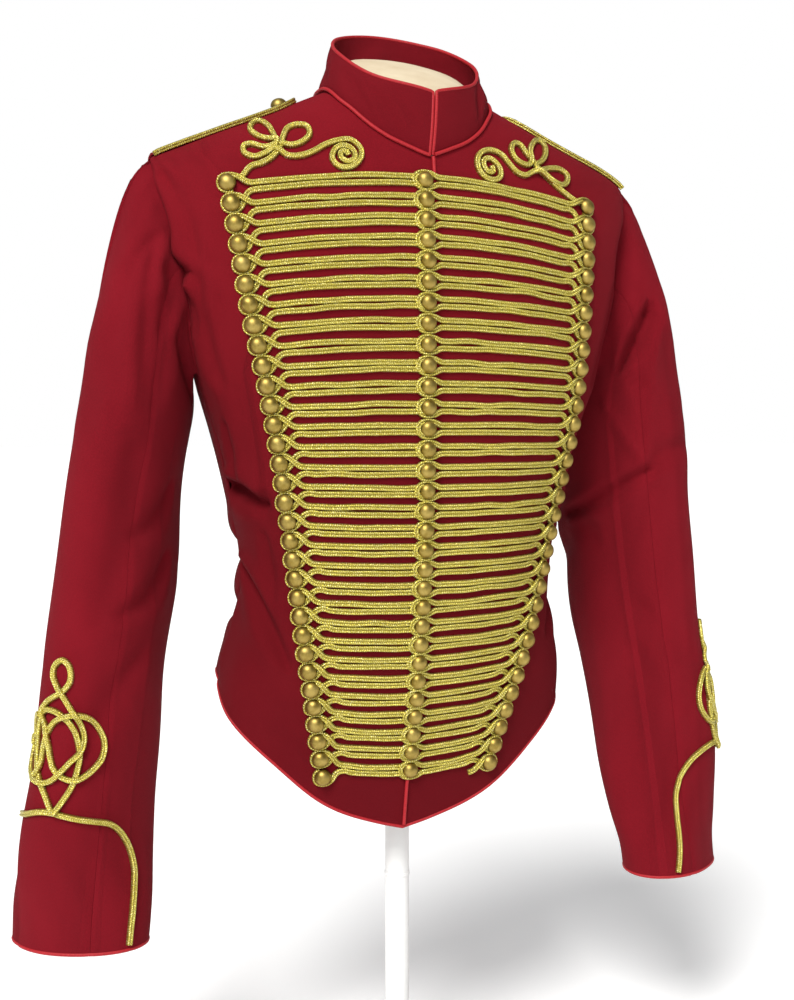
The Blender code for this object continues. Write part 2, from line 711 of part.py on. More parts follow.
def lower_strand(relief, hand, place, last):
    """From the fork down to the next row's outer button."""
    run, height = place
    low, high = relief.rim(run, height, hand, 1), relief.rim(run, height, hand, 2)
    bend = [relief.add(run - hand * 0.0150, height + 0.0052, BRAID_LIFT),
            relief.add(run - hand * 0.0138, height + 0.0080, TOP_OF_BRAID),
            relief.add(run - hand * 0.0128, height + 0.0106, BRAID_LIFT)]
    inset = RIM_RADIUS * math.cos(math.pi / BUTTON_SIDES) * math.sqrt(0.5)
    crest = relief.add(run - hand * inset, height + inset, TOP_OF_BRAID)
    relief.face(last[0], bend[0], bend[1], last[1])
    relief.face(last[1], bend[1], bend[2], last[2])
    relief.face(last[0], last[2], bend[2], bend[0])
    relief.face(bend[0], low, crest, bend[1])
    relief.face(bend[1], crest, high, bend[2])
    relief.face(bend[0], bend[2], high, low)
    return [crest]


def frogging(name, panel, place, finish):
    """All rows of braid of one front with its outer buttons, and on the left the middle buttons."""
    hand = panel.hand
    relief = Relief(place)
    buttons = {row: outer_button(hand, row) for row in range(1, ROWS + 2)}
    joined = {row: {} for row in buttons}
    tuck = 0.0055 if hand > 0 else 0.0012
    for row in range(1, ROWS + 1):
        fork = hand * (abs(buttons[row][0]) - FORK)
        first, last = row_bar(relief, panel, row, CENTRE_BUTTONS + hand * (RIM_RADIUS + tuck), fork)
        if hand > 0:
            middle_loop(relief, row, first)
        else:
            relief.face(*first)
        joined[row][0] = upper_strand(relief, hand, buttons[row], last)
        joined[row + 1][1] = lower_strand(relief, hand, buttons[row + 1], last)
    for row, (run, height) in buttons.items():
        relief.button(run, height, hand, joined[row])
    return add_object(name, relief.points, relief.faces, finish, 40)


def rounded(points, count):
    """Points along a smooth curve through a route's own points, evenly spaced."""
    points = np.array(points, float)
    run = np.concatenate([[0], np.cumsum(np.linalg.norm(np.diff(points, axis=0), axis=1))])
    at = np.linspace(0, run[-1], count)
    return [[smooth(run, points[:, k], value) for k in range(points.shape[1])] for value in at]


def strand(name, place, route, count, finish, lift=BRAID_LIFT, width=BRAID_HALF, closed=False):
    """One flat braid along a route of (round, height) points on a panel or a sleeve."""
    route = rounded(route, count)
    if closed:
        route = route[:-1]
    middles = [place(run, height, lift) for run, height in route]
    tops = [place(run, height, lift + BRAID_HEIGHT) for run, height in route]
    points, faces = [], []
    number = len(route)
    for k in range(number):
        ahead = middles[(k + 1) % number] if closed or k < number - 1 else middles[k]
        behind = middles[k - 1] if closed or k > 0 else middles[k]
        along = (ahead - behind) / np.linalg.norm(ahead - behind)
        side = np.cross(along, tops[k] - middles[k])
        side *= width / 2 / np.linalg.norm(side)
        points += [middles[k] + side, tops[k], middles[k] - side]
    for k in range(number if closed else number - 1):
        a, b = 3 * k, 3 * ((k + 1) % number)
        faces += [(a, b, b + 1, a + 1), (a + 1, b + 1, b + 2, a + 2), (a + 2, b + 2, b, a)]
    if not closed:
        end = 3 * (number - 1)
        faces += [(0, 1, 2), (end + 2, end + 1, end)]
    return add_object(name, points, faces, finish)


def fuse(name, pieces):
    """One body out of pieces that overlap."""
    whole = pieces[0]
    whole.name = name
    for piece in pieces[1:]:
        joint = whole.modifiers.new("union", "BOOLEAN")
        joint.operation = "UNION"
        joint.object = piece
        evaluated = whole.evaluated_get(bpy.context.evaluated_depsgraph_get())
        mesh = bpy.data.meshes.new_from_object(evaluated)
        whole.modifiers.clear()
        whole.data = mesh
        bpy.data.objects.remove(piece)
    return whole


# Chest knot over the first row: places are (distance round, height) for the wearer's right side.
KNOT_STEM = {
    -1: [(0.1610, 0.8200), (0.1518, 0.8255), (0.1414, 0.8300), (0.1329, 0.8360), (0.1240, 0.8462)],
    1: [(0.1665, 0.8225), (0.1590, 0.8228), (0.1490, 0.8262), (0.1385, 0.8345), (0.1240, 0.8462)],
}
KNOT_LOOPS = {
    "upper": [(0.1255, 0.8470), (0.1294, 0.8553), (0.1316, 0.8634), (0.1366, 0.8690), (0.1432, 0.8655),
              (0.1459, 0.8583), (0.1417, 0.8528), (0.1339, 0.8495), (0.1255, 0.8470)],
    "inner": [(0.1245, 0.8465), (0.1220, 0.8530), (0.1165, 0.8605), (0.1086, 0.8640), (0.1012, 0.8622),
              (0.1000, 0.8557), (0.1065, 0.8490), (0.1149, 0.8455), (0.1245, 0.8465)],
    "outer": [(0.1245, 0.8460), (0.1336, 0.8462), (0.1394, 0.8460), (0.1488, 0.8466), (0.1560, 0.8428),
              (0.1551, 0.8365), (0.1478, 0.8335), (0.1389, 0.8371), (0.1245, 0.8460)],
}
KNOT_TAIL = [(0.1270, 0.8420), (0.1206, 0.8370), (0.1105, 0.8361), (0.0991, 0.8404), (0.0888, 0.8464),
             (0.0780, 0.8498)]
SPIRAL_MIDDLE = (0.0722, 0.8385)
SPIRAL_TURNS = 1.75
SPIRAL_RADIUS = 0.0120
SPIRAL_STEPS = 10
KNOT_BRAID = 0.0048         # width of the knots' braid
LAYER = 0.00012             # step in height between strands that cross
KNOT_SHIFT = {-1: (0.0, 0.0), 1: (-0.021, -0.003)}      # the left knot lies nearer the middle


def chest_knot(name, panel, finish):
    """Three loops, a stem to the first button and a tail that ends in a spiral."""
    hand = panel.hand
    inward, up = KNOT_SHIFT[hand]

    def place(run, height, lift):
        return panel.place(hand * (run + inward), height + up, lift)

    spiral = []
    for k in range(SPIRAL_STEPS + 1):
        share = k / SPIRAL_STEPS
        turn = math.radians(75) - 2 * math.pi * SPIRAL_TURNS * share
        radius = SPIRAL_RADIUS * (1 - 0.86 * share)
        spiral.append((SPIRAL_MIDDLE[0] + radius * math.cos(turn), SPIRAL_MIDDLE[1] + radius * math.sin(turn)))
    pieces = [strand(name, place, KNOT_STEM[hand], 6, finish)]
    for step, (part, route) in enumerate(KNOT_LOOPS.items()):
        lift = BRAID_LIFT + LAYER * (step + 1)
        pieces.append(strand(name + part, place, route, 9, finish, lift, KNOT_BRAID, closed=True))
    pieces.append(strand(name + "tail", place, KNOT_TAIL + spiral, 20, finish, BRAID_LIFT + LAYER / 2, KNOT_BRAID))
    return fuse(name, pieces)


# Cuff ornament: places are (degrees from the knot's middle line, height).
KNOT_LINE = 43              # the middle line of the cuff knot, degrees from straight outward
CUFF_LIFT = 0.0003          # more room under the braid where the sleeve is tightly curved
CUFF_PARTS = [      # name, closed, steps, route
    ("tip", True, 7, [(0, 0.3960), (-7, 0.4080), (-6, 0.4180), (0, 0.4225), (6, 0.4180), (7, 0.4080),
                      (0, 0.3960)]),
    ("heart", True, 9, [(0, 0.3980), (14, 0.3800), (25, 0.3600), (20, 0.3430), (0, 0.3260),
                        (-20, 0.3430), (-25, 0.3600), (-14, 0.3800), (0, 0.3980)]),
    ("front_loop", True, 9, [(-6, 0.3520), (-3, 0.3680), (12, 0.3790), (30, 0.3760), (43, 0.3560),
                             (38, 0.3360), (20, 0.3240), (2, 0.3290), (-6, 0.3520)]),
    ("rear_loop", True, 9, [(6, 0.3500), (3, 0.3660), (-12, 0.3770), (-30, 0.3740), (-43, 0.3540),
                            (-38, 0.3340), (-20, 0.3220), (-2, 0.3270), (6, 0.3500)]),
    ("foot", False, 5, [(18, 0.3270), (13, 0.3130), (0, 0.2985), (-13, 0.3130), (-18, 0.3270)]),
]
CUFF_CORD = {
    -1: [(85, 0.1850), (91, 0.2230), (95, 0.2530), (84, 0.2700), (59, 0.2860), (27, 0.2940), (0, 0.2990),
         (-27, 0.2930), (-59, 0.2850), (-84, 0.2690), (-93, 0.2520), (-90, 0.2230), (-85, 0.1850)],
    1: [(69, 0.1850), (61, 0.2230), (57, 0.2560), (49, 0.2780), (25, 0.2950), (8, 0.3030), (0, 0.3040),
        (-8, 0.3020), (-27, 0.2940), (-52, 0.2760), (-60, 0.2520), (-64, 0.2230), (-69, 0.1850)],
}


def cuff_knot(name, sleeve, finish):
    """The loops of a cuff's knot and the pointed cord under it."""
    def place(angle, height, lift):
        return sleeve.place(KNOT_LINE + angle, height, lift + CUFF_LIFT)

    pieces = [strand(name, place, CUFF_CORD[sleeve.hand], 18, finish, width=KNOT_BRAID)]
    for step, (part, closed, count, route) in enumerate(CUFF_PARTS):
        lift = BRAID_LIFT + LAYER * (step + 1)
        pieces.append(strand(name + part, place, route, count + 1, finish, lift, KNOT_BRAID, closed))
    return fuse(name, pieces)


# ---------------------------------------------------------------- collar and piping
COLLAR_MIDDLE_Y = -0.012
COLLAR_HALF_WIDTH = 0.0665  # of its top edge
COLLAR_FRONT = 0.065        # from COLLAR_MIDDLE_Y to the front and the back of the top edge
COLLAR_BACK = 0.068
COLLAR_TOP = table("turn height", [(0, 0.894), (45, 0.911), (90, 0.944), (135, 0.962), (180, 0.968)])
COLLAR_LEVELS = 2
EDGE_ROOM = 2 * PIPING_RADIUS + 1.5 * SEAM_GAP      # from the opening to the collar's front edges
PIPING_ROOM = 0.0023        # air under the neck's piping where the seam turns over the shoulder


def neck_seam(panels):
    """Points and panel normals along the neck, from the right front round the back to the left."""
    right, left, back_right, back_left = panels
    stops = [(right, j) for j in range(NECK_SPANS + 1)]
    stops += [(back_right, j) for j in range(NECK_SPANS - 1, -1, -1)]
    stops += [(back_left, j) for j in range(1, NECK_SPANS)]
    stops += [(left, j) for j in range(NECK_SPANS, -1, -1)]
    seam = []
    for (panel, j), (after, n) in zip(stops, stops[1:]):
        here, there = panel.outer[TOP, j], after.outer[TOP, n]
        seam.append((here, panel.normal[TOP, j]))
        seam.append(((here + there) / 2, panel.normal[TOP, j] + after.normal[TOP, n]))
    seam.append((left.outer[TOP, 0], left.normal[TOP, 0]))
    return [(point, normal / np.linalg.norm(normal)) for point, normal in seam]


def drawn_back(points, room):
    """A row of points whose two ends are moved along it, away from the opening."""
    points = [np.array(p) for p in points]
    for end, beside in ((0, 1), (-1, -2)):
        pull = points[beside] - points[end]
        points[end] = points[end] + pull / np.linalg.norm(pull) * room
    return points


def collar_rings(seam):
    """The outer and inner points of the collar, level by level, and its outward directions."""
    low = drawn_back([point for point, _ in seam], EDGE_ROOM)
    high, outward = [], []
    for point in low:
        turn = math.atan2(abs(point[0]), COLLAR_MIDDLE_Y - point[1])
        reach = COLLAR_FRONT if math.cos(turn) > 0 else COLLAR_BACK
        top = np.array([math.copysign(COLLAR_HALF_WIDTH * math.sin(turn), point[0]),
                        COLLAR_MIDDLE_Y - reach * math.cos(turn),
                        smooth(COLLAR_TOP["turn"], COLLAR_TOP["height"], math.degrees(turn))])
        high.append(top)
        flat = np.array([point[0], (point[1] - COLLAR_MIDDLE_Y), 0.0])
        outward.append(flat / np.linalg.norm(flat))
    low = np.array(low) + [0, 0, 1.5 * SEAM_GAP]
    outer = np.array([low + (np.array(high) - low) * k / (COLLAR_LEVELS - 1) for k in range(COLLAR_LEVELS)])
    return outer, outer - np.array(outward) * CLOTH


def collar_piping_path(outer, inner):
    """Up one front edge, along the top and down the other."""
    middle = (outer + inner) / 2
    reach = PIPING_RADIUS + SEAM_GAP
    path = []
    ends = []
    for end, beside in ((0, 1), (-1, -2)):
        aside = middle[:, end] - middle[:, beside]
        aside /= np.linalg.norm(aside, axis=1, keepdims=True)
        ends.append(middle[:, end] + aside * reach)
    rise = middle[-1] - middle[0]
    rise = rise / np.linalg.norm(rise, axis=1, keepdims=True) * reach
    path += list(ends[0]) + [ends[0][-1] + rise[0] * 0.8]
    path += list(middle[-1] + rise)
    path += [ends[1][-1] + rise[-1] * 0.8] + list(ends[1][::-1])
    return path


def neck_piping_path(seam):
    """In the angle between the panels and the collar."""
    path = []
    for point, normal in seam:
        flat = np.array([point[0], point[1] - COLLAR_MIDDLE_Y, 0.0])
        between = normal + flat / np.linalg.norm(flat)
        between /= np.linalg.norm(between)
        path.append(point + between * (PIPING_RADIUS + PIPING_ROOM) / np.dot(between, normal))
    return drawn_back(path, EDGE_ROOM + PIPING_RADIUS)


def edge_path(outer, inner, beside):
    """A cord's middle line just under a wall's edge; beside is the next row of points."""
    down = outer - beside
    down /= np.linalg.norm(down, axis=1, keepdims=True)
    return (outer + inner) / 2 + down * (PIPING_RADIUS + 3 * SEAM_GAP)


def hem_path(panels):
    right, left, back_right, back_left = panels
    last = len(right.shares) - 1
    stops = [(right, j) for j in range(last, -1, -1)] + [(left, j) for j in range(1, last + 1)]
    stops += [(back_left, j) for j in range(last - 1, -1, -1)] + [(back_right, j) for j in range(1, last)]
    outer = np.array([panel.outer[0, j] for panel, j in stops])
    inner = np.array([panel.inner[0, j] for panel, j in stops])
    beside = np.array([panel.outer[1, j] for panel, j in stops])
    return edge_path(outer, inner, beside)


def front_edge_path(left):
    """On the left front's edge below the last row of braid."""
    top = row_height(1, ROWS, 0.0) - BRAID_HALF - 0.0035
    levels = np.linspace(left.heights[0, 0] + 0.001, top, 5)
    reach = PIPING_RADIUS + SEAM_GAP
    return [left.place(opening_run(height) + reach, height, reach) for height in levels]


# ---------------------------------------------------------------- shoulder straps
STRAP = table("x half", [(0.0990, 0.0070), (0.1016, 0.0110), (0.1060, 0.0140), (0.1340, 0.0160),
                         (0.1620, 0.0175), (0.1900, 0.0185), (0.2165, 0.0185)])
STRAP_TIP = (0.0990, 0.1010, 0.1040)        # x of its points at the neck end
STRAP_LIFT = table("x lift", [(0.0990, 0.0005), (0.1700, 0.0006), (0.2000, 0.0024), (0.2165, 0.0028)])
STRAP_CLOTH = 0.0024
STRAP_CORD = 0.0018
STRAP_BUTTON = 0.1100       # x of its middle
STRAP_BUTTON_RADIUS = 0.0075


def shoulder_point(front, back, column, across, lift):
    """A point on a column of the panels, a distance forward (negative) or back of the shoulder seam."""
    panel = front if across < 0 else back
    j = min(int(column), panel.outer.shape[1] - 2)
    s = column - j
    i, left, step = TOP, abs(across), 0.0
    while True:
        here = panel.blend(panel.outer, i - 1, j, 1.0, s)
        step = np.linalg.norm(here - panel.blend(panel.outer, i - 1, j, 0.0, s))
        if left <= step:
            break
        left -= step
        i -= 1
    cell = (i - 1, j, 1 - left / step, s)
    normal = panel.blend(panel.normal, *cell)
    return panel.blend(panel.outer, *cell) + normal / np.linalg.norm(normal) * lift


def offset_path(path, distance):
    """A path in the plane moved sideways, to its left."""
    path = np.array(path)
    moved = []
    for k, point in enumerate(path):
        before = path[max(k - 1, 0)] if k > 0 else 2 * path[0] - path[1]
        after = path[k + 1] if k < len(path) - 1 else 2 * path[-1] - path[-2]
        sides = []
        for a, b in ((before, point), (point, after)):
            along = (b - a) / np.linalg.norm(b - a)
            sides.append(np.array([-along[1], along[0]]))
        middle = sides[0] + sides[1]
        middle /= np.linalg.norm(middle)
        moved.append(point + middle * distance / np.dot(middle, sides[0]))
    return moved


def strap(side, front, back, cloth, gold, brass):
    """A shoulder strap with its gold edge cord and its button."""
    reach = np.abs(front.outer[TOP, :, 0])
    stations = list(STRAP_TIP) + [x for x in reach if STRAP_TIP[-1] + 0.001 < x < STRAP["x"][-1] + 0.001]

    def over(x, across, lift):
        column = float(np.interp(x, reach, np.arange(len(reach))))
        rest = float(smooth(STRAP_LIFT["x"], STRAP_LIFT["lift"], x))
        return shoulder_point(front, back, column, across, rest + lift)

    def half(x):
        return float(smooth(STRAP["x"], STRAP["half"], x))

    def rows(lift):
        return np.array([[over(x, share * half(x), lift) for share in (-1, -0.5, 0, 0.5, 1)]
                         for x in stations])

    wall("strap_" + side, rows(STRAP_CLOTH), rows(0), cloth)
    outline = [(x, -half(x)) for x in stations[::-1]] + [(stations[0], 0.0)]
    outline += [(x, half(x)) for x in stations]
    cord = [over(x, across, STRAP_CORD) for x, across in offset_path(outline, STRAP_CORD + 2 * SEAM_GAP)]
    tube("strap_cord_" + side, cord, STRAP_CORD, gold, 5)
    seat = over(STRAP_BUTTON, 0.0, 2 * SEAM_GAP + STRAP_CLOTH)
    lean = np.array([math.copysign(SHOULDER_SLOPE, seat[0]), 0.0, 1.0])
    domed_button("strap_button_" + side, seat, lean / np.linalg.norm(lean), brass)


def domed_button(name, seat, normal, finish):
    side = np.cross(normal, [0.0, 1.0, 0.0])
    other = np.cross(normal, side)
    profile = [(0.85, 0.0), (1.0, 0.2), (0.8, 0.72)]
    sides = 12
    points, faces = [], []
    for reach, lift in profile:
        for k in range(sides):
            turn = 2 * math.pi * k / sides
            round_it = math.cos(turn) * side + math.sin(turn) * other
            points.append(seat + normal * lift * BUTTON_HEIGHT + round_it * reach * STRAP_BUTTON_RADIUS)
    points.append(seat + normal * BUTTON_HEIGHT)
    apex = len(points) - 1
    for k in range(sides):
        n = (k + 1) % sides
        for ring in range(len(profile) - 1):
            a = ring * sides
            faces.append((a + k, a + n, a + sides + n, a + sides + k))
        faces.append((apex - sides + k, apex - sides + n, apex))
    faces.append(tuple(range(sides - 1, -1, -1)))
    return add_object(name, points, faces, finish)


# ---------------------------------------------------------------- dress form and stand
FORM_LEVELS = [0.420, 0.480, 0.560]     # below the armpit
FORM_EASE = table("height gap", [(0.420, 0.0120), (0.600, 0.0115), (0.700, 0.0080), (0.780, 0.0040),
                                 (0.836, 0.0016), (0.880, 0.0006), (0.940, 0.0004)])
FORM_COLUMNS = [0, 1, 2, 3, NECK_SPANS, 6, 8, 10]    # of the panels' columns
NECK_TOP_HALF = 0.0575
NECK_TOP_REACH = 0.0560
NECK_TOP = 0.916            # height of the tilted top of the neck at its middle
NECK_TILT = 0.48            # its rise towards the back
CAP_HEIGHT = 0.009


def form_ease(height):
    return CLOTH + float(smooth(FORM_EASE["height"], FORM_EASE["gap"], height))


class Form:
    """The torso under the cloth, from the panels' own columns, and the neck on it."""

    def __init__(self, panels):
        self.panels = {(panel.face, panel.hand): panel for panel in panels}
        self.points, self.faces, self.index = [], [], {}
        self.rows = len(FORM_LEVELS) + TOP - SIDE_LEVELS + 1

    def key(self, face, hand, i, j):
        """Points of the middle, the side and the shoulder line belong to two panels."""
        above = i - len(FORM_LEVELS)
        on_top = i == self.rows - 1
        shared = (j == FORM_COLUMNS[-1] and above <= 0) or (on_top and j >= NECK_SPANS)
        return i, j, hand if j > 0 else 0, 0 if shared else face

    def point(self, face, hand, i, j):
        key = self.key(face, hand, i, j)
        if key not in self.index:
            panel = self.panels[face, hand]
            above = i - len(FORM_LEVELS)
            height = FORM_LEVELS[i] if above < 0 else panel.heights[SIDE_LEVELS + above, j]
            run = panel.run_at(panel.shares[j], height)
            if j == 0:
                run = 0.0
            normal = body_normal(face, run, height)
            if i == 0:
                normal[2] = 0.0
            point = bare_body(face, run, height) - normal * form_ease(height)
            if key[3] == 0:
                point[1] = section(face, height)[2]
            self.index[key] = len(self.points)
            self.points.append(point)
        return self.index[key]

    def add_face(self, *corners):
        corners = [c for k, c in enumerate(corners) if c != corners[k - 1]]
        if len(corners) > 2:
            self.faces.append(tuple(corners))

    def torso(self):
        spans = list(zip(FORM_COLUMNS, FORM_COLUMNS[1:]))
        for i in range(self.rows - 1):
            for face, hand in self.panels:
                for a, b in spans:
                    near, far = self.point(face, hand, i, a), self.point(face, hand, i + 1, b)
                    self.add_face(near, self.point(face, hand, i, b), far)
                    self.add_face(near, far, self.point(face, hand, i + 1, a))
            last = FORM_COLUMNS[-1]
            for hand in (-1, 1):
                # the plate that closes the armhole
                self.add_face(self.point(-1, hand, i, last), self.point(1, hand, i, last),
                              self.point(1, hand, i + 1, last), self.point(-1, hand, i + 1, last))
        self.faces.append(tuple(self.ring(0, FORM_COLUMNS)))

    def ring(self, i, columns):
        """Point numbers round the form, without the doubled ones."""
        keys = []
        for face, hand, order in ((-1, -1, columns[::-1]), (-1, 1, columns), (1, 1, columns[::-1]),
                                  (1, -1, columns)):
            keys += [self.point(face, hand, i, j) for j in order]
        return [k for n, k in enumerate(keys) if k != keys[n - 1]]

    def neck(self):
        """A short neck with a tilted, slightly domed top."""
        ring = self.ring(self.rows - 1, [j for j in FORM_COLUMNS if j <= NECK_SPANS])
        previous = ring
        for widen, rise in ((1.0, 0.0), (0.86, CAP_HEIGHT * 0.55)):
            upper = []
            for k in ring:
                x, y, _ = self.points[k]
                turn = math.atan2(x, COLLAR_MIDDLE_Y - y)
                top_y = COLLAR_MIDDLE_Y - NECK_TOP_REACH * widen * math.cos(turn)
                top = np.array([NECK_TOP_HALF * widen * math.sin(turn), top_y,
                                NECK_TOP + NECK_TILT * (top_y - COLLAR_MIDDLE_Y) + rise])
                upper.append(len(self.points))
                self.points.append(top)
            for k in range(len(ring)):
                n = (k + 1) % len(ring)
                self.faces.append((previous[k], previous[n], upper[n], upper[k]))
            previous = upper
        self.points.append(np.array([0.0, COLLAR_MIDDLE_Y, NECK_TOP + CAP_HEIGHT]))
        for k in range(len(ring)):
            self.faces.append((previous[k], previous[(k + 1) % len(ring)], len(self.points) - 1))


def turned(name, profile, sides, finish):
    """A solid of revolution; profile runs from the axis at the bottom to the axis at the top."""
    points = [np.array([0.0, 0.0, profile[0][1]])]
    faces = []
    for radius, height in profile[1:-1]:
        for k in range(sides):
            turn = 2 * math.pi * k / sides
            points.append(np.array([radius * math.cos(turn), radius * math.sin(turn), height]))
    points.append(np.array([0.0, 0.0, profile[-1][1]]))
    top = len(points) - 1
    for k in range(sides):
        n = (k + 1) % sides
        faces.append((0, 1 + n, 1 + k))
        for ring in range(len(profile) - 3):
            a = 1 + ring * sides
            faces.append((a + k, a + n, a + sides + n, a + sides + k))
        faces.append((top - sides + k, top - sides + n, top))
    return add_object(name, points, faces, finish)


def stand(finish):
    base_top = BASE_HEIGHT
    turned("stand_base", [(0, 0), (BASE_RADIUS - 0.002, 0), (BASE_RADIUS, 0.002), (BASE_RADIUS, 0.006),
                          (BASE_RADIUS - 0.004, 0.009), (0.040, base_top), (0, base_top)], 28, finish)
    foot = base_top + SEAM_GAP
    top = FORM_LEVELS[0] - SEAM_GAP
    turned("stand_pole", [(0, foot), (0.030, foot), (0.030, foot + 0.004), (0.016, foot + 0.012),
                          (POLE_RADIUS, foot + 0.030), (POLE_RADIUS, top - 0.020), (0.032, top - 0.006),
                          (0.032, top), (0, top)], 12, finish)


# ---------------------------------------------------------------- the whole object
def main():
    for item in list(bpy.data.objects):
        bpy.data.objects.remove(item)
    finish = finishes()
    right, left = Panel(-1, -1), Panel(-1, 1)
    back_right, back_left = Panel(1, -1), Panel(1, 1)
    panels = [right, left, back_right, back_left]
    for name, panel in zip(("front_right", "front_left", "back_right", "back_left"), panels):
        wall(name, panel.outer, panel.inner, finish["twill"])
    on_front = front_place(right, left)
    for side, front, back in (("right", right, back_right), ("left", left, back_left)):
        sleeve = Sleeve(front.hand, front, back)
        count = sleeve.outer.shape[1]
        for part, first, last in (("upper", BACK_SEAM - count, FRONT_SEAM), ("under", FRONT_SEAM, BACK_SEAM)):
            wall("sleeve_" + side + "_" + part, sleeve.part(sleeve.outer, first, last),
                 sleeve.part(sleeve.inner, first, last), finish["twill"])
        tube("cuff_piping_" + side, edge_path(sleeve.outer[-1], sleeve.inner[-1], sleeve.outer[-2]),
             PIPING_RADIUS, finish["piping"], closed=True)
        cuff_knot("cuff_knot_" + side, sleeve, finish["gold"])
        frogging("frogging_" + side, front, on_front, finish["gold"])
        chest_knot("chest_knot_" + side, front, finish["gold"])
        strap(side, front, back, finish["twill"], finish["gold"], finish["brass"])
    seam = neck_seam(panels)
    outer, inner = collar_rings(seam)
    wall("collar", outer, inner, finish["twill"])
    tube("collar_piping", collar_piping_path(outer, inner), PIPING_RADIUS, finish["piping"])
    tube("neck_piping", neck_piping_path(seam), PIPING_RADIUS, finish["piping"])
    tube("hem_piping", hem_path(panels), PIPING_RADIUS, finish["piping"], closed=True)
    tube("front_piping", front_edge_path(left), PIPING_RADIUS, finish["piping"])
    form = Form(panels)
    form.torso()
    form.neck()
    add_object("form_body", form.points, form.faces, finish["form"])
    stand(finish["stand"])


main()
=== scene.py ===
import math

import bmesh
import bpy
import numpy as np
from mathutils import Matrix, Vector


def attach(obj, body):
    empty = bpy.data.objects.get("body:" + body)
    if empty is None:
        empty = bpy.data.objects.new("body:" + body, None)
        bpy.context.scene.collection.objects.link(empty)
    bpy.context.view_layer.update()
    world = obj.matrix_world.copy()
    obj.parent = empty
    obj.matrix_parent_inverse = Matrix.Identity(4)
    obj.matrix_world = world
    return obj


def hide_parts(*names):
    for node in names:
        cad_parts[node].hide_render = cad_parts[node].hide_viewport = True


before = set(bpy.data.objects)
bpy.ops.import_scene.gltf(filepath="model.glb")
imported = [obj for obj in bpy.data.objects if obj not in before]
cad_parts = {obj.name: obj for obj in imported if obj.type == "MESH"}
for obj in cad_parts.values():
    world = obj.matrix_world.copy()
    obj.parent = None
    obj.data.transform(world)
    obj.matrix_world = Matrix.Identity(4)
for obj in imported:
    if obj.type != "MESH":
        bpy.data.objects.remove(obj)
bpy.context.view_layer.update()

print("frame loaded:", len(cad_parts), "nodes")


# small tools
def table(names, rows):
    return {name: np.array(column, float) for name, column in zip(names.split(), zip(*rows))}


def smooth(across, values, at):     # a cubic through a table's rows, level past its ends
    slopes = np.gradient(values, across)
    at = np.clip(at, across[0], across[-1])
    k = np.clip(np.searchsorted(across, at) - 1, 0, len(across) - 2)
    gap = across[k + 1] - across[k]
    t = (at - across[k]) / gap
    start = (1 + 2 * t) * (1 - t) ** 2 * values[k] + t * (1 - t) ** 2 * gap * slopes[k]
    return start + t * t * (3 - 2 * t) * values[k + 1] + t * t * (t - 1) * gap * slopes[k + 1]


def read(rows, column, at):     # a table's column read along its first one
    return smooth(next(iter(rows.values())), rows[column], at)


def between(net, i, k, j, n, t, s):     # a net read between rows i and k and columns j and n
    return (1 - t) * ((1 - s) * net[i, j] + s * net[i, n]) + t * ((1 - s) * net[k, j] + s * net[k, n])


def unit(vectors):
    return vectors / np.maximum(np.linalg.norm(vectors, axis=-1, keepdims=True), 1e-12)


def runAlong(points):       # distance covered at each point of a line
    return np.concatenate([[0], np.cumsum(np.linalg.norm(np.diff(points, axis=0), axis=1))])


def finished(name, mesh):
    piece = bpy.data.objects.new(name, mesh)
    bpy.context.scene.collection.objects.link(piece)
    return piece


def dress(piece, node):
    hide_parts(node)
    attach(piece, "root")


def turnOutward(mesh):
    shape = bmesh.new()
    shape.from_mesh(mesh)
    if shape.calc_volume(signed=True) < 0:
        bmesh.ops.reverse_faces(shape, faces=shape.faces)
    shape.to_mesh(mesh)
    shape.free()


def smoothed(mesh, finish, sharp=50):
    mesh.materials.append(finish)
    turnOutward(mesh)
    mesh.shade_smooth()
    mesh.set_sharp_from_angle(angle=math.radians(sharp))
    return mesh


def meshFrom(name, points, faces, finish, sharp=50):
    mesh = bpy.data.meshes.new(name)
    mesh.from_pydata([tuple(p) for p in np.asarray(points, float).tolist()], [], faces)
    return smoothed(mesh, finish, sharp)


class Field:        # a node's output that takes plain arithmetic
    def __init__(self, socket):
        self.socket, self.tree = socket, socket.id_data

    def does(self, operation, *others, clamp=False):
        node = self.tree.nodes.new("ShaderNodeMath")
        node.operation, node.use_clamp = operation, clamp
        feed(node, dict(enumerate((self, *others))))
        return Field(node.outputs[0])

    def beside(self, output):       # another output of the same node
        return Field(self.socket.node.outputs[output])

    def __add__(self, other):
        return self.does("ADD", other)

    def __sub__(self, other):
        return self.does("SUBTRACT", other)

    def __mul__(self, other):
        return self.does("MULTIPLY", other)

    def __truediv__(self, other):
        return self.does("DIVIDE", other)

    def __abs__(self):
        return self.does("ABSOLUTE")


def feed(node, values):     # inputs by name or number: a value to set or a field to link
    for key, value in values.items():
        socket = node.inputs[key]
        if isinstance(value, Field):
            node.id_data.links.new(value.socket, socket)
        else:
            socket.default_value = (*value, 1) if socket.type == "RGBA" else value


def addNode(tree, kind, values=(), output=0, **settings):
    node = tree.nodes.new(kind)
    for key, value in settings.items():
        setattr(node, key, value)
    feed(node, dict(values))
    return Field(node.outputs[output])


# camera and light
view = {"azimuth": -21.3, "pitch": 3.0, "distance": 1.272, "target": (0, 0, 0.545), "lens": 50.4,
        "sensor": 36.0}
lamps = {   # kind, place, aim, angle or size, strength
    "overheadLight": ("SUN", (-1.45, -1.60, 2.85), (0, 0, 0.5), math.radians(24.0), 3.4),
    "cameraLight": ("AREA", (-0.95, -1.75, 1.55), (0, 0, 0.7), 0.7, 8.0)}
studio = {"lampColour": (1.0, 0.99, 0.97), "world": (0.97, 0.98, 1.0), "ambient": 0.26, "backdrop": 1.0}


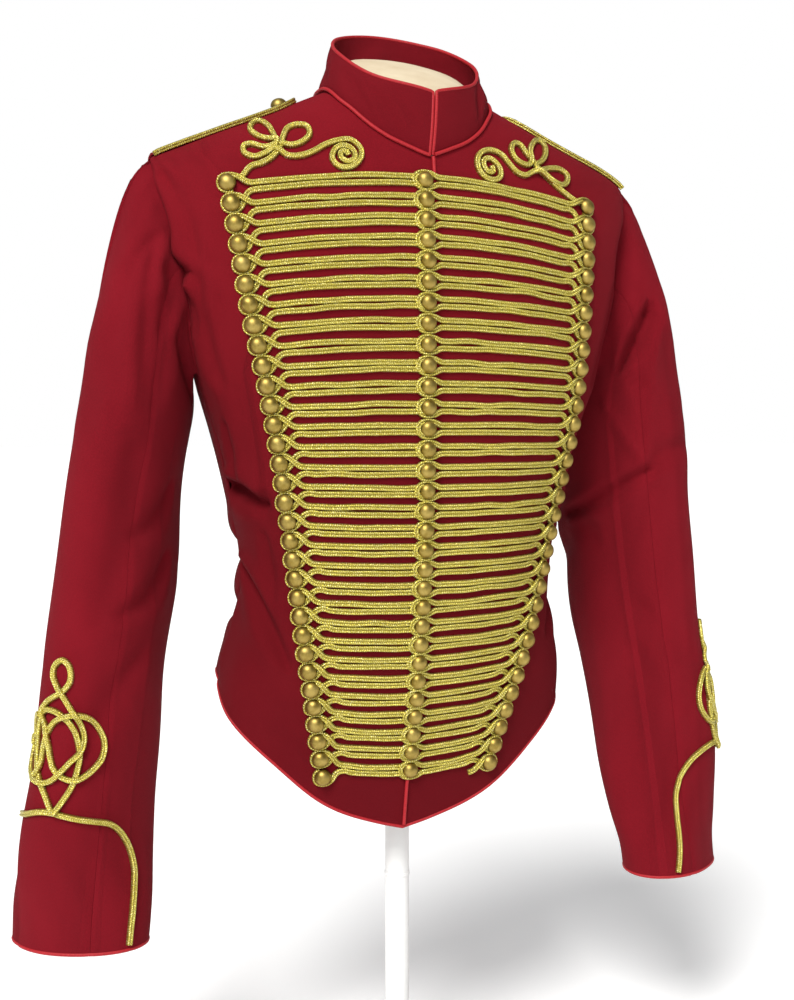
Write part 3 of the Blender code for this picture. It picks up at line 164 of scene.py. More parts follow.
def placeCamera():
    turn, tip = math.radians(view["azimuth"]), math.radians(view["pitch"])
    away = Vector((math.sin(turn) * math.cos(tip), -math.cos(turn) * math.cos(tip), math.sin(tip)))
    lens = bpy.data.cameras.new("mainCamera")
    lens.lens, lens.sensor_width, lens.sensor_fit = view["lens"], view["sensor"], "AUTO"
    camera = finished("mainCamera", lens)
    camera.location = Vector(view["target"]) + away * view["distance"]
    camera.rotation_euler = (-away).to_track_quat("-Z", "Y").to_euler()
    bpy.context.scene.camera = camera


def placeLights():
    for name, (kind, place, aim, size, strength) in lamps.items():
        lamp = bpy.data.lights.new(name, kind)
        lamp.energy, lamp.color = strength, studio["lampColour"]
        setattr(lamp, "angle" if kind == "SUN" else "size", size)
        holder = finished(name, lamp)
        holder.location = place
        holder.rotation_euler = (Vector(aim) - Vector(place)).to_track_quat("-Z", "Y").to_euler()


def placeWorld():       # a soft dome that the camera sees as plain white
    world = bpy.data.worlds.new("studio")
    world.use_nodes = True
    tree = world.node_tree
    feed(tree.nodes["Background"], {"Color": studio["world"], "Strength": studio["ambient"]})
    seen = addNode(tree, "ShaderNodeBackground", {"Color": (1, 1, 1), "Strength": studio["backdrop"]})
    sight = addNode(tree, "ShaderNodeLightPath", output="Is Camera Ray")
    mix = addNode(tree, "ShaderNodeMixShader", {0: sight, 1: Field(tree.nodes["Background"].outputs[0]), 2: seen})
    feed(tree.nodes["World Output"], {"Surface": mix})
    bpy.context.scene.world = world
    bpy.context.scene.view_settings.view_transform = "Standard"


# shared effects: shader groups
def noise(vector, scale, detail=2.0, roughness=0.5):
    return addNode(vector.tree, "ShaderNodeTexNoise", {
        "Vector": vector, "Scale": scale, "Detail": detail, "Roughness": roughness}, "Fac")


def spread(value, low, high, toLow=0.0, toHigh=1.0):
    return addNode(value.tree, "ShaderNodeMapRange", {0: value, 1: low, 2: high, 3: toLow, 4: toHigh})


def mixColour(factor, a, b):
    return addNode(factor.tree, "ShaderNodeMix", {0: factor, 6: a, 7: b}, 2, data_type="RGBA")


def shaderGroup(name, inputs, outputs):     # its tree, its inputs as fields, and the node that takes its outputs
    tree = bpy.data.node_groups.new(name, "ShaderNodeTree")
    for label, value in inputs.items():
        kind = "NodeSocketVector" if value is None else "NodeSocketFloat"
        socket = tree.interface.new_socket(label, in_out="INPUT", socket_type=kind)
        if value is not None:
            socket.default_value = value
    for label in outputs.split():
        tree.interface.new_socket(label, in_out="OUTPUT", socket_type="NodeSocketFloat")
    given = tree.nodes.new("NodeGroupInput")
    return tree, {label: Field(given.outputs[label]) for label in inputs}, tree.nodes.new("NodeGroupOutput")


weave = {"slant": 1.7, "wander": (160, 3, 0.0016), "crossPitch": 0.62, "ribHeight": 0.34, "crossHeight": 0.12,
         "slub": (420, 4, 0.65), "dye": (9, 3, 0.55), "fleck": (900, 2, 0.6)}
winding = {"wander": (0.45, 1.3), "acrossScale": 3.0, "sparkle": (1.15, 3, 0.7), "patch": 0.14}


def twillGroup():       # diagonal ribs of a cotton twill with slubs, and a slow unevenness of the dye
    tree, given, put = shaderGroup("twillWeave", {"Vector": None, "Rib": 0.0011, "Slub": 0.35}, "Height Dye Fleck")
    place, rib = given["Vector"], given["Rib"]
    across = addNode(tree, "ShaderNodeSeparateXYZ", {0: place})
    slant = across + across.beside(1) * weave["slant"]
    scale, detail, drift = weave["wander"]
    wave = ((slant + noise(place, scale, detail) * drift) / rib * (2 * math.pi)).does("SINE")
    cross = (across / (rib * weave["crossPitch"]) * (2 * math.pi)).does("SINE")
    slubs = noise(place, *weave["slub"]) * given["Slub"]
    feed(put, {"Height": wave * weave["ribHeight"] + cross * weave["crossHeight"] + slubs,
               "Dye": noise(place, *weave["dye"]), "Fleck": noise(place, *weave["fleck"])})
    return tree


def windingGroup():     # threads wound across a cord: ticks along its length, uneven sparkle
    tree, given, put = shaderGroup("threadWinding", {
        "Along": 0.0, "Across": 0.0, "Pitch": 0.0011, "Slant": 0.5}, "Tick Sparkle Patch")
    steps = given["Along"] / given["Pitch"] + abs(given["Across"]) * given["Slant"]
    place = addNode(tree, "ShaderNodeCombineXYZ", {     # in millimetres along the cord
        0: given["Along"] * 1000.0, 1: given["Across"] * winding["acrossScale"]})
    scale, drift = winding["wander"]
    wave = ((steps + noise(place, scale) * drift) * (2 * math.pi)).does("SINE")
    feed(put, {"Tick": wave.does("MULTIPLY_ADD", 0.5, 0.5), "Sparkle": noise(place, *winding["sparkle"]),
               "Patch": noise(place, winding["patch"])})
    return tree


twillWeave, threadWinding = twillGroup(), windingGroup()

# finishes: colours from low to high, roughness, bump strength and depth
# shade: a painted light scale from low on the body up to the shoulders. The sleeves' copy is painted brighter
# overall for the light that falls on them. The collar's copy is a little darker, with its own scale.
cloths = {
    "crimsonTwill": {"deep": (0.118, 0.0026, 0.0062), "worn": (0.170, 0.0044, 0.0098), "shade": (0.80, 1.22)},
    "sleeveTwill": {"deep": (0.118, 0.0028, 0.0068), "worn": (0.178, 0.0050, 0.0112), "shade": (1.10, 1.16)},
    "collarTwill": {"deep": (0.110, 0.0026, 0.0060), "worn": (0.158, 0.0044, 0.0094), "shade": (1.00, 1.08)}}
twillLook = {"rib": 0.0012, "rough": 0.90, "specular": 0.10, "sheen": 0.02, "sheenRough": 0.45,
             "sheenTint": (1.0, 0.20, 0.24), "lit": 1.35, "paintedLightFrom": 0.55, "paintedLightTo": 0.86, "bump": (0.85, 0.0005)}
goldLook = {"dark": (0.16, 0.122, 0.008), "mid": (0.88, 0.74, 0.100), "bright": (1.0, 0.98, 0.58), "pitch": 0.0019,
            "rough": 0.31, "metal": 0.72, "tick": (0.86, 0.16), "fill": (0.8, 0.32), "glint": (0.25, 0.75),
            "grooveShade": 0.35, "groove": (0.16, 0.55), "sparkleBump": 1.2, "bump": (1.0, 0.00035)}
coralLook = {"deep": (0.28, 0.007, 0.013), "pale": (0.47, 0.020, 0.026), "rough": 0.5, "specular": 0.25,
             "pitch": 0.0013, "slant": 1.1, "bump": (0.35, 0.0003)}
brassLook = {"foot": (0.055, 0.032, 0.009), "deep": (0.290, 0.205, 0.045), "pale": (0.460, 0.345, 0.100),
             "rough": (0.42, 0.54), "footShadeHeight": 0.45, "bump": (0.10, 0.0002)}
jerseyLook = {"deep": (0.62, 0.50, 0.33), "pale": (0.75, 0.64, 0.46), "ribs": (0.42, 0.35, 0.22), "rough": 0.88,
              "bump": (0.22, 0.0004)}
enamelLook = {"deep": (0.80, 0.80, 0.79), "pale": (0.87, 0.87, 0.86), "rough": (0.30, 0.42), "bump": (0.05, 0.0002)}
floorLook = {"deep": (0.94, 0.94, 0.94), "pale": (0.96, 0.96, 0.96), "rough": 0.8, "glow": 0.28,
             "halfWidth": 40}


def newMaterial(name):      # the material, its shader, places on the object
    made = bpy.data.materials.new(name)
    made.use_nodes = True
    tree = made.node_tree
    return made, tree.nodes["Principled BSDF"], addNode(tree, "ShaderNodeTexCoord", output="Object")


def bumpFrom(height, look):
    strength, distance = look["bump"]
    return addNode(height.tree, "ShaderNodeBump", {"Strength": strength, "Distance": distance, "Height": height})


def wornAttribute(tree, name):
    return addNode(tree, "ShaderNodeAttribute", output="Fac", attribute_name=name)


def twillMaterial(name):
    cloth = cloths[name]
    made, shader, place = newMaterial(name)
    cut = addNode(place.tree, "ShaderNodeUVMap", uv_map="clothUv")
    height = addNode(place.tree, "ShaderNodeGroup", {"Rib": twillLook["rib"], "Vector": cut}, node_tree=twillWeave)
    base = mixColour(spread(height.beside("Dye"), 0.32, 0.68), cloth["deep"], cloth["worn"])
    # painted highlight: the raised ribs of the weave are mixed toward a lighter tone by their height, together with
    # random flecks of paler yarn
    ribHighlightAndFleck = spread(height.beside("Fleck"), 0.35, 0.75, 0.0, 0.55).does(
        "ADD", spread(height, -0.3, 0.8, 0.0, 0.45), clamp=True)
    lit = mixColour(ribHighlightAndFleck, base, tuple(twillLook["lit"] * c for c in cloth["worn"]))
    level = addNode(place.tree, "ShaderNodeSeparateXYZ", {0: place}, 2)
    heightLit = addNode(place.tree, "ShaderNodeVectorMath", operation="SCALE", values={     # painted light: paler towards the shoulders and darker low down, as if lit from above
        0: lit, "Scale": spread(level, twillLook["paintedLightFrom"], twillLook["paintedLightTo"], *cloth["shade"])})
    feed(shader, {"Base Color": heightLit, "Roughness": twillLook["rough"], "Normal": bumpFrom(height, twillLook),
                  "Sheen Weight": twillLook["sheen"], "Sheen Roughness": twillLook["sheenRough"],
                  "Sheen Tint": twillLook["sheenTint"], "Specular IOR Level": twillLook["specular"]})
    return made


def woundThread(tree, pitch, slant):        # the winding, and the place across the cord
    across = wornAttribute(tree, "across")
    return across, addNode(tree, "ShaderNodeGroup", {
        "Pitch": pitch, "Slant": slant, "Along": wornAttribute(tree, "along"), "Across": across},
        node_tree=threadWinding)


def braidMaterial(name, slant, groove):
    made, shader, place = newMaterial(name)
    across, tick = woundThread(place.tree, goldLook["pitch"], slant)
    # painted light: each wound thread is lighter where it rises and darker in the gaps between threads, as shade.
    # The brightest parts are mixed toward a pale painted glint, in uneven patches.
    light = tick.does("MULTIPLY_ADD", *goldLook["tick"]) * spread(tick.beside("Sparkle"), 0.38, 0.66)
    base = mixColour(light.does("MULTIPLY_ADD", *goldLook["fill"]), goldLook["dark"], goldLook["mid"])
    patch = spread(tick.beside("Patch"), 0.35, 0.65).does("MULTIPLY_ADD", 0.5, 0.5)
    lit = mixColour(spread(light, *goldLook["glint"]) * patch, base, goldLook["bright"])
    if groove:      # painted shade: darker along the groove in the middle of the braid
        width, share = goldLook["groove"]
        middle = spread(abs(across), 0.0, width, share, 0.0)
        lit = mixColour(middle, lit, tuple(goldLook["grooveShade"] * c for c in goldLook["mid"]))
    feed(shader, {"Base Color": lit, "Roughness": goldLook["rough"], "Metallic": goldLook["metal"],
                  "Normal": bumpFrom(tick + tick.beside("Sparkle") * goldLook["sparkleBump"], goldLook)})
    return made


def pipingMaterial():
    made, shader, place = newMaterial("coralPiping")
    tick = woundThread(place.tree, coralLook["pitch"], coralLook["slant"])[1]
    tone = mixColour(spread(tick.beside("Sparkle"), 0.3, 0.7), coralLook["deep"], coralLook["pale"])
    feed(shader, {"Base Color": tone, "Roughness": coralLook["rough"], "Specular IOR Level": coralLook["specular"],
                  "Normal": bumpFrom(tick, coralLook)})
    return made


def brassMaterial():
    made, shader, place = newMaterial("antiqueBrass")
    cloud = noise(place, 120, 3, 0.6)
    tone = mixColour(spread(cloud, 0.35, 0.65), brassLook["deep"], brassLook["pale"])
    # painted shade: near black at the foot of each dome where it meets the cloth, rising to the brass tone above
    domed = spread(wornAttribute(place.tree, "rise"), 0.0, brassLook["footShadeHeight"])
    feed(shader, {"Base Color": mixColour(domed, brassLook["foot"], tone), "Metallic": 1.0,
                  "Roughness": spread(cloud, 0.3, 0.7, *brassLook["rough"]),
                  "Normal": bumpFrom(noise(place, 1600, 2, 0.6), brassLook)})
    return made


def jerseyMaterial():
    made, shader, place = newMaterial("formJersey")
    knit = addNode(place.tree, "ShaderNodeTexWave", {
        "Scale": 260.0, "Distortion": 2.2, "Detail": 2.0, "Vector": place}, "Fac")
    tone = mixColour(spread(noise(place, 22, 4, 0.6), 0.3, 0.7), jerseyLook["deep"], jerseyLook["pale"])
    feed(shader, {"Base Color": mixColour(knit * 0.14, tone, jerseyLook["ribs"]), "Roughness": jerseyLook["rough"],
                  "Normal": bumpFrom(knit, jerseyLook)})
    return made


def enamelMaterial():
    made, shader, place = newMaterial("whiteEnamel")
    cloud = noise(place, 30, 3, 0.6)
    feed(shader, {"Base Color": mixColour(spread(cloud, 0.3, 0.7), enamelLook["deep"], enamelLook["pale"]),
                  "Roughness": spread(cloud, 0.3, 0.7, *enamelLook["rough"]),
                  "Normal": bumpFrom(noise(place, 900), enamelLook)})
    return made


def floorMaterial():
    made, shader, place = newMaterial("paleFloor")
    feed(shader, {"Base Color": mixColour(noise(place, 6, 3, 0.6), floorLook["deep"], floorLook["pale"]),
                  "Roughness": floorLook["rough"], "Emission Color": (1, 1, 1),
                  "Emission Strength": floorLook["glow"]})
    return made


twill, collarTwill, sleeveTwill = (twillMaterial(name) for name in ("crimsonTwill", "collarTwill", "sleeveTwill"))
goldBraid, goldCord = braidMaterial("goldBraid", 0.55, True), braidMaterial("goldCord", 0.9, False)
coral, brass, jersey = pipingMaterial(), brassMaterial(), jerseyMaterial()
enamel, floorFinish = enamelMaterial(), floorMaterial()
print("finishes made")

sides = {-1: "Right", 1: "Left"}


# the body under the cloth: level sections
body = {"neckHalf": 0.075, "neckCorner": 2.4, "shoulderHalf": 0.226, "shoulderTip": 0.8345, "slope": 0.44,
        "neckBack": 0.922, "armpit": 0.655, "cloth": 0.0018, "seam": 0.00022}
sections = table("height halfWidth front back side frontCorner backCorner", [
    (0.240, 0.170, 0.042, 0.098, 0.020, 2.3, 2.4), (0.309, 0.168, 0.047, 0.102, 0.020, 2.3, 2.4),
    (0.391, 0.162, 0.065, 0.104, 0.020, 2.5, 2.4), (0.473, 0.143, 0.078, 0.094, 0.013, 2.9, 2.4),
    (0.557, 0.156, 0.086, 0.098, 0.004, 3.0, 2.4), (0.645, 0.182, 0.089, 0.110, -0.004, 3.0, 2.4),
    (0.700, 0.197, 0.088, 0.114, -0.006, 3.0, 2.5), (0.760, 0.209, 0.088, 0.114, -0.006, 3.0, 2.6),
    (0.820, 0.222, 0.088, 0.112, -0.006, 3.0, 2.6), (0.960, 0.227, 0.088, 0.112, -0.006, 3.0, 2.6)])
rollStart = {-1: (0.700, 2.4), 1: (0.690, 2.3)}     # height where front and back turn to the shoulder, bend
armhole = table("height front back", [
    (0.655, 1.000, 1.000), (0.672, 0.962, 0.930), (0.700, 0.930, 0.895), (0.740, 0.925, 0.890),
    (0.780, 0.928, 0.898), (0.810, 0.944, 0.925), (0.8250, 0.966, 0.955), (0.8345, 1.000, 1.000)])
hemLine = table("round height", [
    (0.00, 0.258), (0.12, 0.264), (0.42, 0.288), (0.65, 0.325), (0.85, 0.360), (1.00, 0.388),
    (1.30, 0.392), (1.70, 0.380), (2.00, 0.374)])
neckLine = table("out height", [(0, 0.840), (0.020, 0.848), (0.039, 0.857), (0.054, 0.869), (0.064, 0.881),
                                (0.071, 0.890), (0.075, 0.9009)])
openingLine = table("height step", [(0.240, -0.012), (0.420, -0.004), (0.640, 0.000), (0.836, 0.002)])
bodyNet = {"low": 0.235, "high": 0.965, "step": 0.001, "turns": 181, "shares": 400, "normalStep": 0.0008}
# unevenness of the body's cloth, less of it beside the opening
bodyEase = {"size": 0.00085, "seed": 1.3, "calm": 0.35, "calmTo": 0.10, "calmOver": 0.06}

# creases in millimetres: face, run and height of one end, of the other end, bow, width, depth, lip beside it
bodyCreases = [
    (-1, -206, 561, -148, 545, 1, 6.6, 12, 5), (-1, -146, 558, -148, 536, 1, 6, 4.4, 1.8),
    (-1, -149, 520, -137, 460, -1, 5, 3.4, 1.8), (-1, -195, 494, -122, 409, 7, 5.6, 7.8, 3.8),
    (-1, -192, 612, -178, 569, -5, 6, 3.6, 1.6), (-1, -208, 404, -201, 462, -1, 12, -3.4, 0),
    (-1, -231, 819, -205, 753, 4, 8.5, 5, 2), (-1, -246, 746, -211, 738, -2, 6.2, 5.6, 3.2),
    (-1, -252, 812, -236, 756, 3, 7, 3.4, 1.4), (-1, -230, 727, -216, 690, 4, 7, 5.4, 2.2),
    (-1, -204, 732, -187, 647, -5, 8.5, 5.8, 2.6), (-1, -182, 716, -165, 621, -1, 9, 3, 1.4),
    (-1, 206, 548, 158, 530, -3, 7, 7, 3.2), (-1, 198, 500, 140, 425, -6, 7, 6, 2.6),
    (-1, 200, 640, 168, 560, -6, 9, 4.4, 1.8), (-1, 234, 800, 212, 742, -3, 8, 4, 1.6),
    (-1, 206, 735, 180, 650, 4, 9, 4.4, 1.8), (-1, 206, 420, 176, 350, 4, 11, 3, 1.2),
    (-1, 75, 812, 110, 846, 3, 10, 1, 0.4), (1, -190, 502, -50, 480, 10, 12, 7, 3),
    (1, 190, 515, 40, 498, -10, 12, 6.8, 2.8), (1, -180, 452, -40, 462, -8, 10, 5.2, 2.2),
    (1, 175, 448, 70, 440, -6, 9, 4, 1.8), (1, -190, 655, -100, 555, 10, 13, 5.6, 2.2),
    (1, 190, 650, 110, 545, -12, 13, 5.2, 2), (1, -170, 780, -120, 690, 6, 14, 3.4, 1.4),
    (1, 165, 775, 115, 680, -6, 14, 3.4, 1.4), (1, -60, 420, 30, 400, 4, 11, 2.6, 1)]


def creaseField(u, v, creases):     # how far soft creases move the cloth in or out
    total = np.zeros(np.broadcast(u, v).shape)
    for crease in creases:
        ax, ay, bx, by, bow, width, depth, lip = np.array(crease) / 1000
        length = math.hypot(bx - ax, by - ay)
        dx, dy = (bx - ax) / length, (by - ay) / length
        along = ((u - ax) * dx + (v - ay) * dy) / length
        inside = np.clip(along, 0, 1)
        side = (u - ax) * -dy + (v - ay) * dx - bow * 4 * inside * (1 - inside)
        past = (along - inside) * length
        away = np.hypot(side, past)
        slim = width * (0.55 + 0.75 * np.sin(math.pi * np.clip(along * 0.8 + 0.1, 0, 1)))
        fade = np.clip(1.15 - np.abs(along - 0.42) ** 2.0 * 1.6, 0.15, 1)
        total -= depth * fade * np.exp(-(away / slim) ** 2)
        total += lip * fade * np.exp(-((side - 1.9 * slim) / (1.5 * slim)) ** 2 - (past / width) ** 2)
        total += 0.6 * lip * fade * np.exp(-((side + 1.9 * slim) / (1.6 * slim)) ** 2 - (past / width) ** 2)
    return total


def ease(u, v, size, seed):     # slow unevenness of cloth that isn't pressed flat
    wave = np.sin(u * 31 + 1.7 * seed + 2.1 * np.sin(v * 17 + seed))
    wave = wave + 0.7 * np.sin(v * 43 - u * 19 + 2.3 * seed) + 0.5 * np.sin(u * 67 + v * 29 + 0.9 * seed)
    return size * wave


def ridge(x):
    return body["shoulderTip"] + body["slope"] * (body["shoulderHalf"] - np.abs(x))


class BodyFace:     # front (-1) or back (1), looked up from a fine net of its sections
    def __init__(self, face):
        self.face, self.name = face, "front" if face < 0 else "back"
        low, high = bodyNet["low"], bodyNet["high"]
        self.heights = np.linspace(low, high, round((high - low) / bodyNet["step"]) + 1)
        half, self.side, reach, corner = (read(sections, column, self.heights) for column in (
            "halfWidth", "side", self.name, self.name + "Corner"))
        angle = np.linspace(0, math.pi / 2, bodyNet["turns"])[None]
        x = half[:, None] * np.sin(angle) ** (2 / corner[:, None])
        y = (reach - face * self.side)[:, None] * np.cos(angle) ** (2 / corner[:, None])
        run = np.cumsum(np.hypot(np.diff(x, axis=1), np.diff(y, axis=1)), axis=1)
        run = np.concatenate([np.zeros((len(run), 1)), run], axis=1)
        self.length = run[:, -1]
        share = np.linspace(0, 1, bodyNet["shares"] + 1)
        self.x, self.y = (np.array([np.interp(share * r[-1], r, row) for r, row in zip(run, net)])
                          for net in (x, y))

    def lengthAt(self, height):
        return np.interp(height, self.heights, self.length)

    def sideAt(self, height):
        return np.interp(height, self.heights, self.side)

    def bare(self, run, height):
        run, height = np.broadcast_arrays(np.asarray(run, float), np.asarray(height, float))
        length, count = self.lengthAt(height), bodyNet["shares"]
        past = np.abs(run) > length     # carried on past the side line as its mirror image
        share = np.clip(np.where(past, 2 * length - np.abs(run), np.abs(run)) / length, 0, 1) * count
        row = np.clip((height - self.heights[0]) / bodyNet["step"], 0, len(self.heights) - 1.001)
        i, j = row.astype(int), np.minimum(share.astype(int), count - 1)
        x, y = (between(net, i, i + 1, j, j + 1, row - i, share - j) for net in (self.x, self.y))
        start, bend = rollStart[self.face]
        climb = np.clip((height - start) / (ridge(x) - start), 0, 1)
        y = y * np.maximum(1 - climb ** bend, 0) ** (1 / bend)
        return np.stack([np.copysign(x, run), self.sideAt(height) + self.face * np.where(past, -y, y), height], -1)

    def normal(self, run, height):
        step = bodyNet["normalStep"]
        across = self.bare(run + step, height) - self.bare(run - step, height)
        up = self.bare(run, height) - self.bare(run, height - step)
        out = unit(np.cross(across, up) * -self.face)
        onTop = (np.abs(self.bare(run, height)[..., 1] - self.sideAt(height)) < 1e-5) & (height > body["armpit"])
        side = np.copysign(body["slope"], run)
        top = unit(np.stack([side, np.zeros_like(side), np.ones_like(side)], -1))
        return np.where(onTop[..., None], top, out)

    def fold(self, run, height):
        mine = [crease[1:] for crease in bodyCreases if crease[0] == self.face]
        away = np.clip((np.abs(run) - bodyEase["calmTo"]) / bodyEase["calmOver"], 0, 1)
        share = bodyEase["calm"] + (1 - bodyEase["calm"]) * away if self.face < 0 else 1.0
        loose = ease(run, height, bodyEase["size"], bodyEase["seed"] + self.face)
        return creaseField(run, height, mine) + share * loose

    def point(self, run, height, lift=0.0):
        return self.bare(run, height) + self.normal(run, height) * (self.fold(run, height) + lift)[..., None]

    def edgeRun(self, height):
        return read(armhole, self.name, height) * self.lengthAt(height)


faces = {-1: BodyFace(-1), 1: BodyFace(1)}


def openingRun(height):
    return read(openingLine, "step", height)


# front and back panels
panelNet = {"neckSpans": 30, "sideSpans": 52, "low": 96, "chest": 14, "roll": 42, "seamSink": 0.0009,
            "seamWidth": 0.0026, "byNeck": [0.010, 0.028], "byEdges": [0.006, 0.016, 0.984, 0.994]}
topRow = panelNet["low"] + panelNet["chest"] + panelNet["roll"]
panelCuts = {"front": {"flat": (0.250, 0.650), "area": 0.1300}, "back": {"flat": (0.250, 0.560), "area": 0.1210}}


def withMore(shares, more):
    return np.array(sorted(set(list(shares) + more)))


def halved(low, high, isBelow, rounds):     # the place where a condition ends
    for _ in range(rounds):
        middle = (low + high) / 2
        below = isBelow(middle)
        low, high = np.where(below, middle, low), np.where(below, high, middle)
    return low


def gridNormals(points, guide, wrap=False):
    across = np.roll(points, -1, axis=1) - np.roll(points, 1, axis=1) if wrap else np.gradient(points, axis=1)
    out = unit(np.cross(across, np.gradient(points, axis=0)))
    return out * np.sign(np.sum(out * guide, axis=-1).mean())


class Panel:
    def __init__(self, face, hand):
        self.face, self.hand, self.shape = face, hand, faces[face]
        shape, corner = self.shape, ridge(body["neckHalf"])
        start, edge = self.ends(corner)
        inside = halved(0.0, float(shape.lengthAt(corner)),
                        lambda run: shape.bare(run, corner)[0] < body["neckHalf"], 40)
        neck = (hand * inside - start) / (edge - start)
        near = withMore(np.sin(np.linspace(0, math.pi / 2, panelNet["neckSpans"] + 1)), panelNet["byNeck"])
        rest = withMore(np.linspace(0, 1, panelNet["sideSpans"] + 1), panelNet["byEdges"])[1:]
        self.corner = len(near) - 1
        self.shares = np.concatenate([neck * near, neck + (1 - neck) * rest])
        self.heights = self.rows()
        self.runs = self.runAt(self.shares[None], self.heights)
        self.bare, out = shape.bare(self.runs, self.heights), shape.normal(self.runs, self.heights)
        self.points = self.bare + out * (shape.fold(self.runs, self.heights) + self.seams())[..., None]
        self.points[topRow, self.corner:, 1] += face * body["seam"] * 0.6
        self.normals = gridNormals(self.points, out)
        self.normals[:, 0, 0] *= 0.0 if face > 0 else 1.0
        self.normals = unit(self.normals)

    def ends(self, height):
        middle = openingRun(height) if self.face < 0 else 0.0 * height
        half = body["seam"] / 2
        return middle + self.hand * half, self.hand * (self.shape.edgeRun(height) - half)

    def runAt(self, share, height):
        start, edge = self.ends(height)
        return start + share * (edge - start)

    def seams(self):    # the cloth dips where two pieces are sewn together
        def dip(away):
            return np.exp(-(away / panelNet["seamWidth"]) ** 2)
        up = np.linalg.norm(np.diff(self.bare, axis=0), axis=2)
        down = np.concatenate([np.cumsum(up[::-1], axis=0)[::-1], np.zeros((1, len(self.shares)))])
        dips = np.maximum(dip(self.runs - self.runs[:, -1:]), dip(down))
        return -panelNet["seamSink"] * (np.maximum(dips, dip(self.runs)) if self.face > 0 else dips)

    def rows(self):
        start, bend = rollStart[self.face]
        shares, shape, back = self.shares, self.shape, body["neckBack"]
        reach = abs(float(shape.bare(0.0, back)[1] - shape.sideAt(back)))

        def underNeck(height):
            at = shape.bare(self.runAt(shares, height), height)
            out = np.abs(at[:, 0])
            if self.face < 0:
                return height < read(neckLine, "height", out)
            inside = np.maximum(1 - (out / body["neckHalf"]) ** body["neckCorner"], 0)
            return np.abs(at[:, 1] - shape.sideAt(height)) > reach * inside ** (1 / body["neckCorner"])
        top = halved(np.full(len(shares), start), np.full(len(shares), ridge(0.0)), underNeck, 34)
        level = np.full(len(shares), body["shoulderTip"])
        for _ in range(30):
            level = ridge(shape.bare(self.runAt(shares, level), level)[:, 0])
        top = np.where(np.arange(len(shares)) >= self.corner, level, top)
        x = shape.bare(self.runAt(shares, top), top)[:, 0]
        last = np.arcsin(np.minimum((top - start) / (ridge(x) - start), 1.0) ** (bend / 2))
        turns = np.linspace(0, 1, panelNet["roll"] + 1)[1:, None] * last[None]
        roll = start + (ridge(x) - start) * np.sin(turns) ** (2 / bend)
        hem = read(hemLine, "height", shares if self.face < 0 else 2 - shares)
        low = hem + (body["armpit"] - hem) * np.linspace(0, 1, panelNet["low"] + 1)[:, None]
        chest = np.linspace(body["armpit"], start, panelNet["chest"] + 1)[1:, None] * np.ones(len(shares))
        return np.concatenate([low, chest, roll])


def clothShell(name, points, normals, thickness, finish):
    # outer and inner wall with the rim between them, and a map of the cut cloth in metres
    rows, columns = points.shape[:2]
    grid = np.arange(rows * columns).reshape(rows, columns)
    wall = np.stack([grid[:-1, :-1], grid[:-1, 1:], grid[1:, 1:], grid[1:, :-1]], -1).reshape(-1, 4)
    rims = ((grid[0, 1:], grid[0, :-1]), (grid[-1, :-1], grid[-1, 1:]),
            (grid[:-1, 0], grid[1:, 0]), (grid[1:, -1], grid[:-1, -1]))
    quads = np.concatenate([wall, grid.size + wall[:, ::-1]] + [
        np.stack([p, q, grid.size + q, grid.size + p], -1) for p, q in rims])
    spots = np.concatenate([points.reshape(-1, 3), (points - normals * thickness).reshape(-1, 3)])
    mesh = meshFrom(name, spots, quads.tolist(), finish)
    tall = np.cumsum(np.linalg.norm(np.diff(points, axis=0, prepend=points[:1]), axis=2), axis=0)
    flat = np.stack([np.broadcast_to(runAlong(points[rows // 2]), (rows, columns)), tall], -1).reshape(-1, 2)
    layer = mesh.uv_layers.new(name="clothUv")
    corners = np.zeros(len(mesh.loops), int)
    mesh.loops.foreach_get("vertex_index", corners)
    layer.data.foreach_set("uv", np.concatenate([flat, flat])[corners].astype(np.float32).ravel())
    return finished(name, mesh)


def sewSheet(piece, node, held, rests, flat, area):
    dress(piece, node)


panels = {(part, hand): Panel(face, hand) for hand in sides for part, face in (("front", -1), ("back", 1))}
for (part, hand), panel in panels.items():
    piece = clothShell(part + sides[hand], panel.points, panel.normals, body["cloth"], twill)
    sewSheet(piece, part + "_" + sides[hand].lower(), "hung", ["form_body"], **panelCuts[part])
print("front and back panels made")

# sleeves
sleeveLevels = table("height x y longHalf shortHalf turn", [
    (0.182, 0.288, -0.003, 0.059, 0.040, -30), (0.205, 0.286, -0.002, 0.059, 0.039, -25),
    (0.240, 0.282, 0.000, 0.057, 0.040, -5), (0.295, 0.276, 0.005, 0.058, 0.041, 24),
    (0.380, 0.266, 0.012, 0.061, 0.042, 38), (0.464, 0.254, 0.019, 0.065, 0.043, 45),
    (0.550, 0.243, 0.018, 0.067, 0.041, 48), (0.615, 0.233, 0.015, 0.068, 0.041, 50)])
sleeveNet = {"top": 0.615, "cuff": 0.182, "cap": 26, "arm": 118, "round": 14, "frontSeam": 35, "backSeam": 77,
             "reach": 0.052, "headHandle": {-1: 0.17, 1: 0.27}, "armHandle": {-1: 0.58, 1: 0.50},
             "leave": (0.80, -0.60, -0.56), "sewnIn": (0.0010, 0.0030), "pleats": (0.0003, 0.012),
             "seam": (0.0008, 0.0024), "ease": 0.0011, "seed": 2.0}
sleeveCuts = {"Upper": {"flat": (0.235, 0.680), "area": 0.1080}, "Under": {"flat": (0.165, 0.600), "area": 0.0825}}
